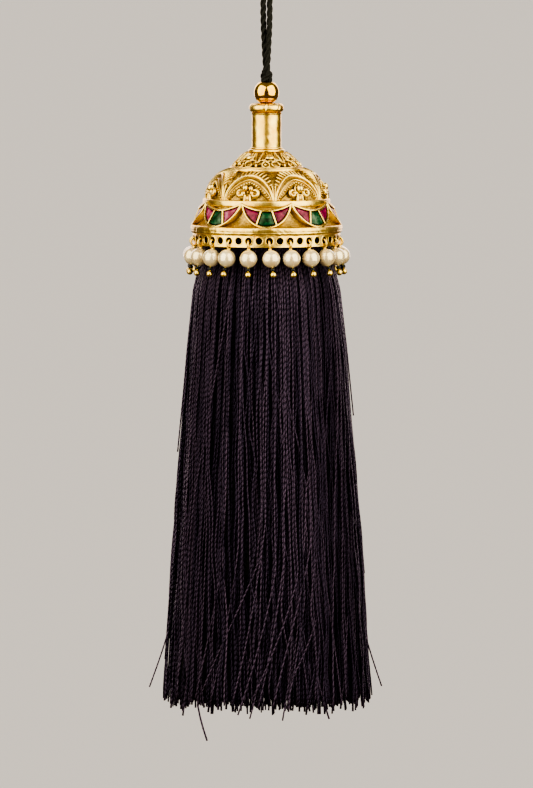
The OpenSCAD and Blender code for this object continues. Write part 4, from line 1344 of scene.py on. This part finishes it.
# dark core, coloured near black for the shade inside the tassel, ridged like the threads that it stands for,
# and the cut ends under it
core = {"top": 74.0, "foot": 203.5, "inset": 3.0, "ridge": 0.22, "around": 300, "rings": 34, "footRings": 12,
        "topRings": 3}
rng = np.random.default_rng(5)
coreDepth = np.linspace(core["top"], core["foot"], core["rings"])
coreRadius = np.interp(coreDepth, formDepth, formRadius) - core["inset"]
coreAngles = (np.arange(core["around"]) * 360 / core["around"])[None, :]
ridges = rng.normal(0, core["ridge"], core["around"])
corePoints = roundAbout(coreRadius[::-1, None] + ridges[None, :], coreAngles, -coreDepth[::-1, None])
footDisc = roundAbout(np.linspace(0.3, coreRadius[-1] - 0.2, core["footRings"])[:, None], coreAngles,
                      -core["foot"])
topDisc = roundAbout(np.linspace(0.3, coreRadius[0], core["topRings"])[::-1, None], coreAngles, -core["top"])
coreParts = [(points, gridFaces(*points.shape[:2], wrap=True)) for points in (corePoints, footDisc, topDisc)]
makePiece("tasselCore", coreParts, coreThread, ("tassel",))

stubs = {"count": 820, "steps": 5, "thick": 1.05, "splay": 1.0, "askew": 2.6, "outR": 24.6, "from": 201,
         "to": 206.4}
fraction = np.sqrt((np.arange(stubs["count"]) + 0.5) / stubs["count"])
spiral = np.arange(stubs["count"]) * 137.508
stubR = fraction * stubs["outR"] + rng.normal(0, 0.3, stubs["count"])
stubEnd = stubs["to"] + rng.normal(0, 1.0, stubs["count"])
s = np.linspace(0, 1, stubs["steps"])[None, :]
depth = stubs["from"] + (stubEnd[:, None] - stubs["from"]) * s
stubPaths = roundAbout(np.abs(stubR)[:, None] + rng.normal(0, stubs["splay"], (stubs["count"], 1)) * s,
                       spiral[:, None] + rng.normal(0, stubs["askew"], (stubs["count"], 1)) * s, -depth)
thick = tassel["thread"] / 2 * stubs["thick"] * np.ones((stubs["count"], stubs["steps"]))
threadPiece("tasselCutEnds", stubPaths, thick, np.clip(rng.normal(0.3, 0.15, stubs["count"]), 0, 1),
            silkThread)
print("tassel made")


# Floor, world and lights

stage = {
    "floorLevel": -0.62, "floorHalf": 90.0, "paper": "#ECE9E4",
    "beyond": "#D6CBBF",      # what the camera sees past the floor: the same tone, so that no edge shows
    "floorLamp": 2.0, "floorLampColour": "#FFFAF4", "floorLampSpread": 20,
}

floorMesh = bpy.data.meshes.new("floor")
half = stage["floorHalf"]
floorMesh.from_pydata([(-half, -half, 0), (half, -half, 0), (half, half, 0), (-half, half, 0)], [],
                      [(0, 1, 2, 3)])
floor = newObject("floor", floorMesh)
floor.location = (0, 0, stage["floorLevel"])
# Matt studio paper, off-white
floorMesh.materials.append(newMaterial("mattStudioPaper",
                                       {"Base Color": toLinear(stage["paper"]), "Roughness": 0.9})[0])
floor.visible_glossy = floor.visible_diffuse = floor.visible_transmission = False

# The paper has a lamp of its own, as a studio background has, and the softboxes leave it out, so that no
# edge of their light crosses it in any view
paperLit, paperUnlit = (bpy.data.collections.new(name) for name in ("paperLit", "paperUnlit"))
for lit in (paperLit, paperUnlit):
    lit.objects.link(floor)
paperUnlit.collection_objects[0].light_linking.link_state = "EXCLUDE"
floorLamp = bpy.data.lights.new("floorLamp", "SUN")
floorLamp.energy = stage["floorLamp"]
floorLamp.color = toLinear(stage["floorLampColour"])[:3]
floorLamp.angle = math.radians(stage["floorLampSpread"])
newObject("floorLamp", floorLamp).light_linking.receiver_collection = paperLit

# A dim warm room for the metal to mirror, lighter overhead
world = bpy.data.worlds.new("studio")
bpy.context.scene.world = world
world.use_nodes = True
tree = world.node_tree
tree.nodes.clear()
split = addNode(tree, "SeparateXYZ", None, {"Vector": addNode(tree, "TexCoord").outputs["Generated"]})
heights = addNode(tree, "MapRange", {"From Min": -0.6, "From Max": 0.9}, {"Value": split.outputs["Z"]})
dim = addNode(tree, "ValToRGB", {"stops": [(0.0, "#695B4B"), (0.4, "#54493D"), (1.0, "#7C756B")]},
              {"Fac": heights})
room = addNode(tree, "Background", None, {"Color": dim})
seen = addNode(tree, "Background", {"Color": toLinear(stage["beyond"])})
fromCamera = addNode(tree, "LightPath").outputs["Is Camera Ray"]
addNode(tree, "OutputWorld", None,
        {"Surface": addNode(tree, "MixShader", None, {0: fromCamera, 1: room, 2: seen})})

# Large softboxes left and right of the camera, and weaker ones behind for the back
softboxes = [
    {"name": "softbox", "azimuth": 53, "away": 1.15, "level": 0.3, "size": (1.72, 2.15), "colour": "#FFF9D2",
     "watts": {"Left": 38, "Right": 42}},
    {"name": "softboxBack", "azimuth": 160, "away": 1.5, "level": 0.4, "size": (0.9, 1.5),
     "colour": "#FFEDE8", "watts": {"Left": 10, "Right": 10}},
]
middle = Vector((0, 0, -0.1))
for pair in softboxes:
    for side, watts in pair["watts"].items():
        light = bpy.data.lights.new(pair["name"] + side, "AREA")
        light.shape = "RECTANGLE"
        light.size, light.size_y = pair["size"]
        light.energy = watts
        light.color = toLinear(pair["colour"])[:3]
        lamp = newObject(light.name, light)
        a = math.radians(-pair["azimuth"] if side == "Left" else pair["azimuth"])
        lamp.location = (pair["away"] * math.sin(a), -pair["away"] * math.cos(a), pair["level"])
        lamp.rotation_mode = "QUATERNION"
        lamp.rotation_quaternion = (middle - lamp.location).to_track_quat("-Z", "Y")
        lamp.visible_camera = False
        lamp.light_linking.receiver_collection = paperUnlit
bpy.context.scene.view_settings.view_transform = "AgX"
bpy.context.scene.view_settings.look = "AgX - High Contrast"
print("stage lit")
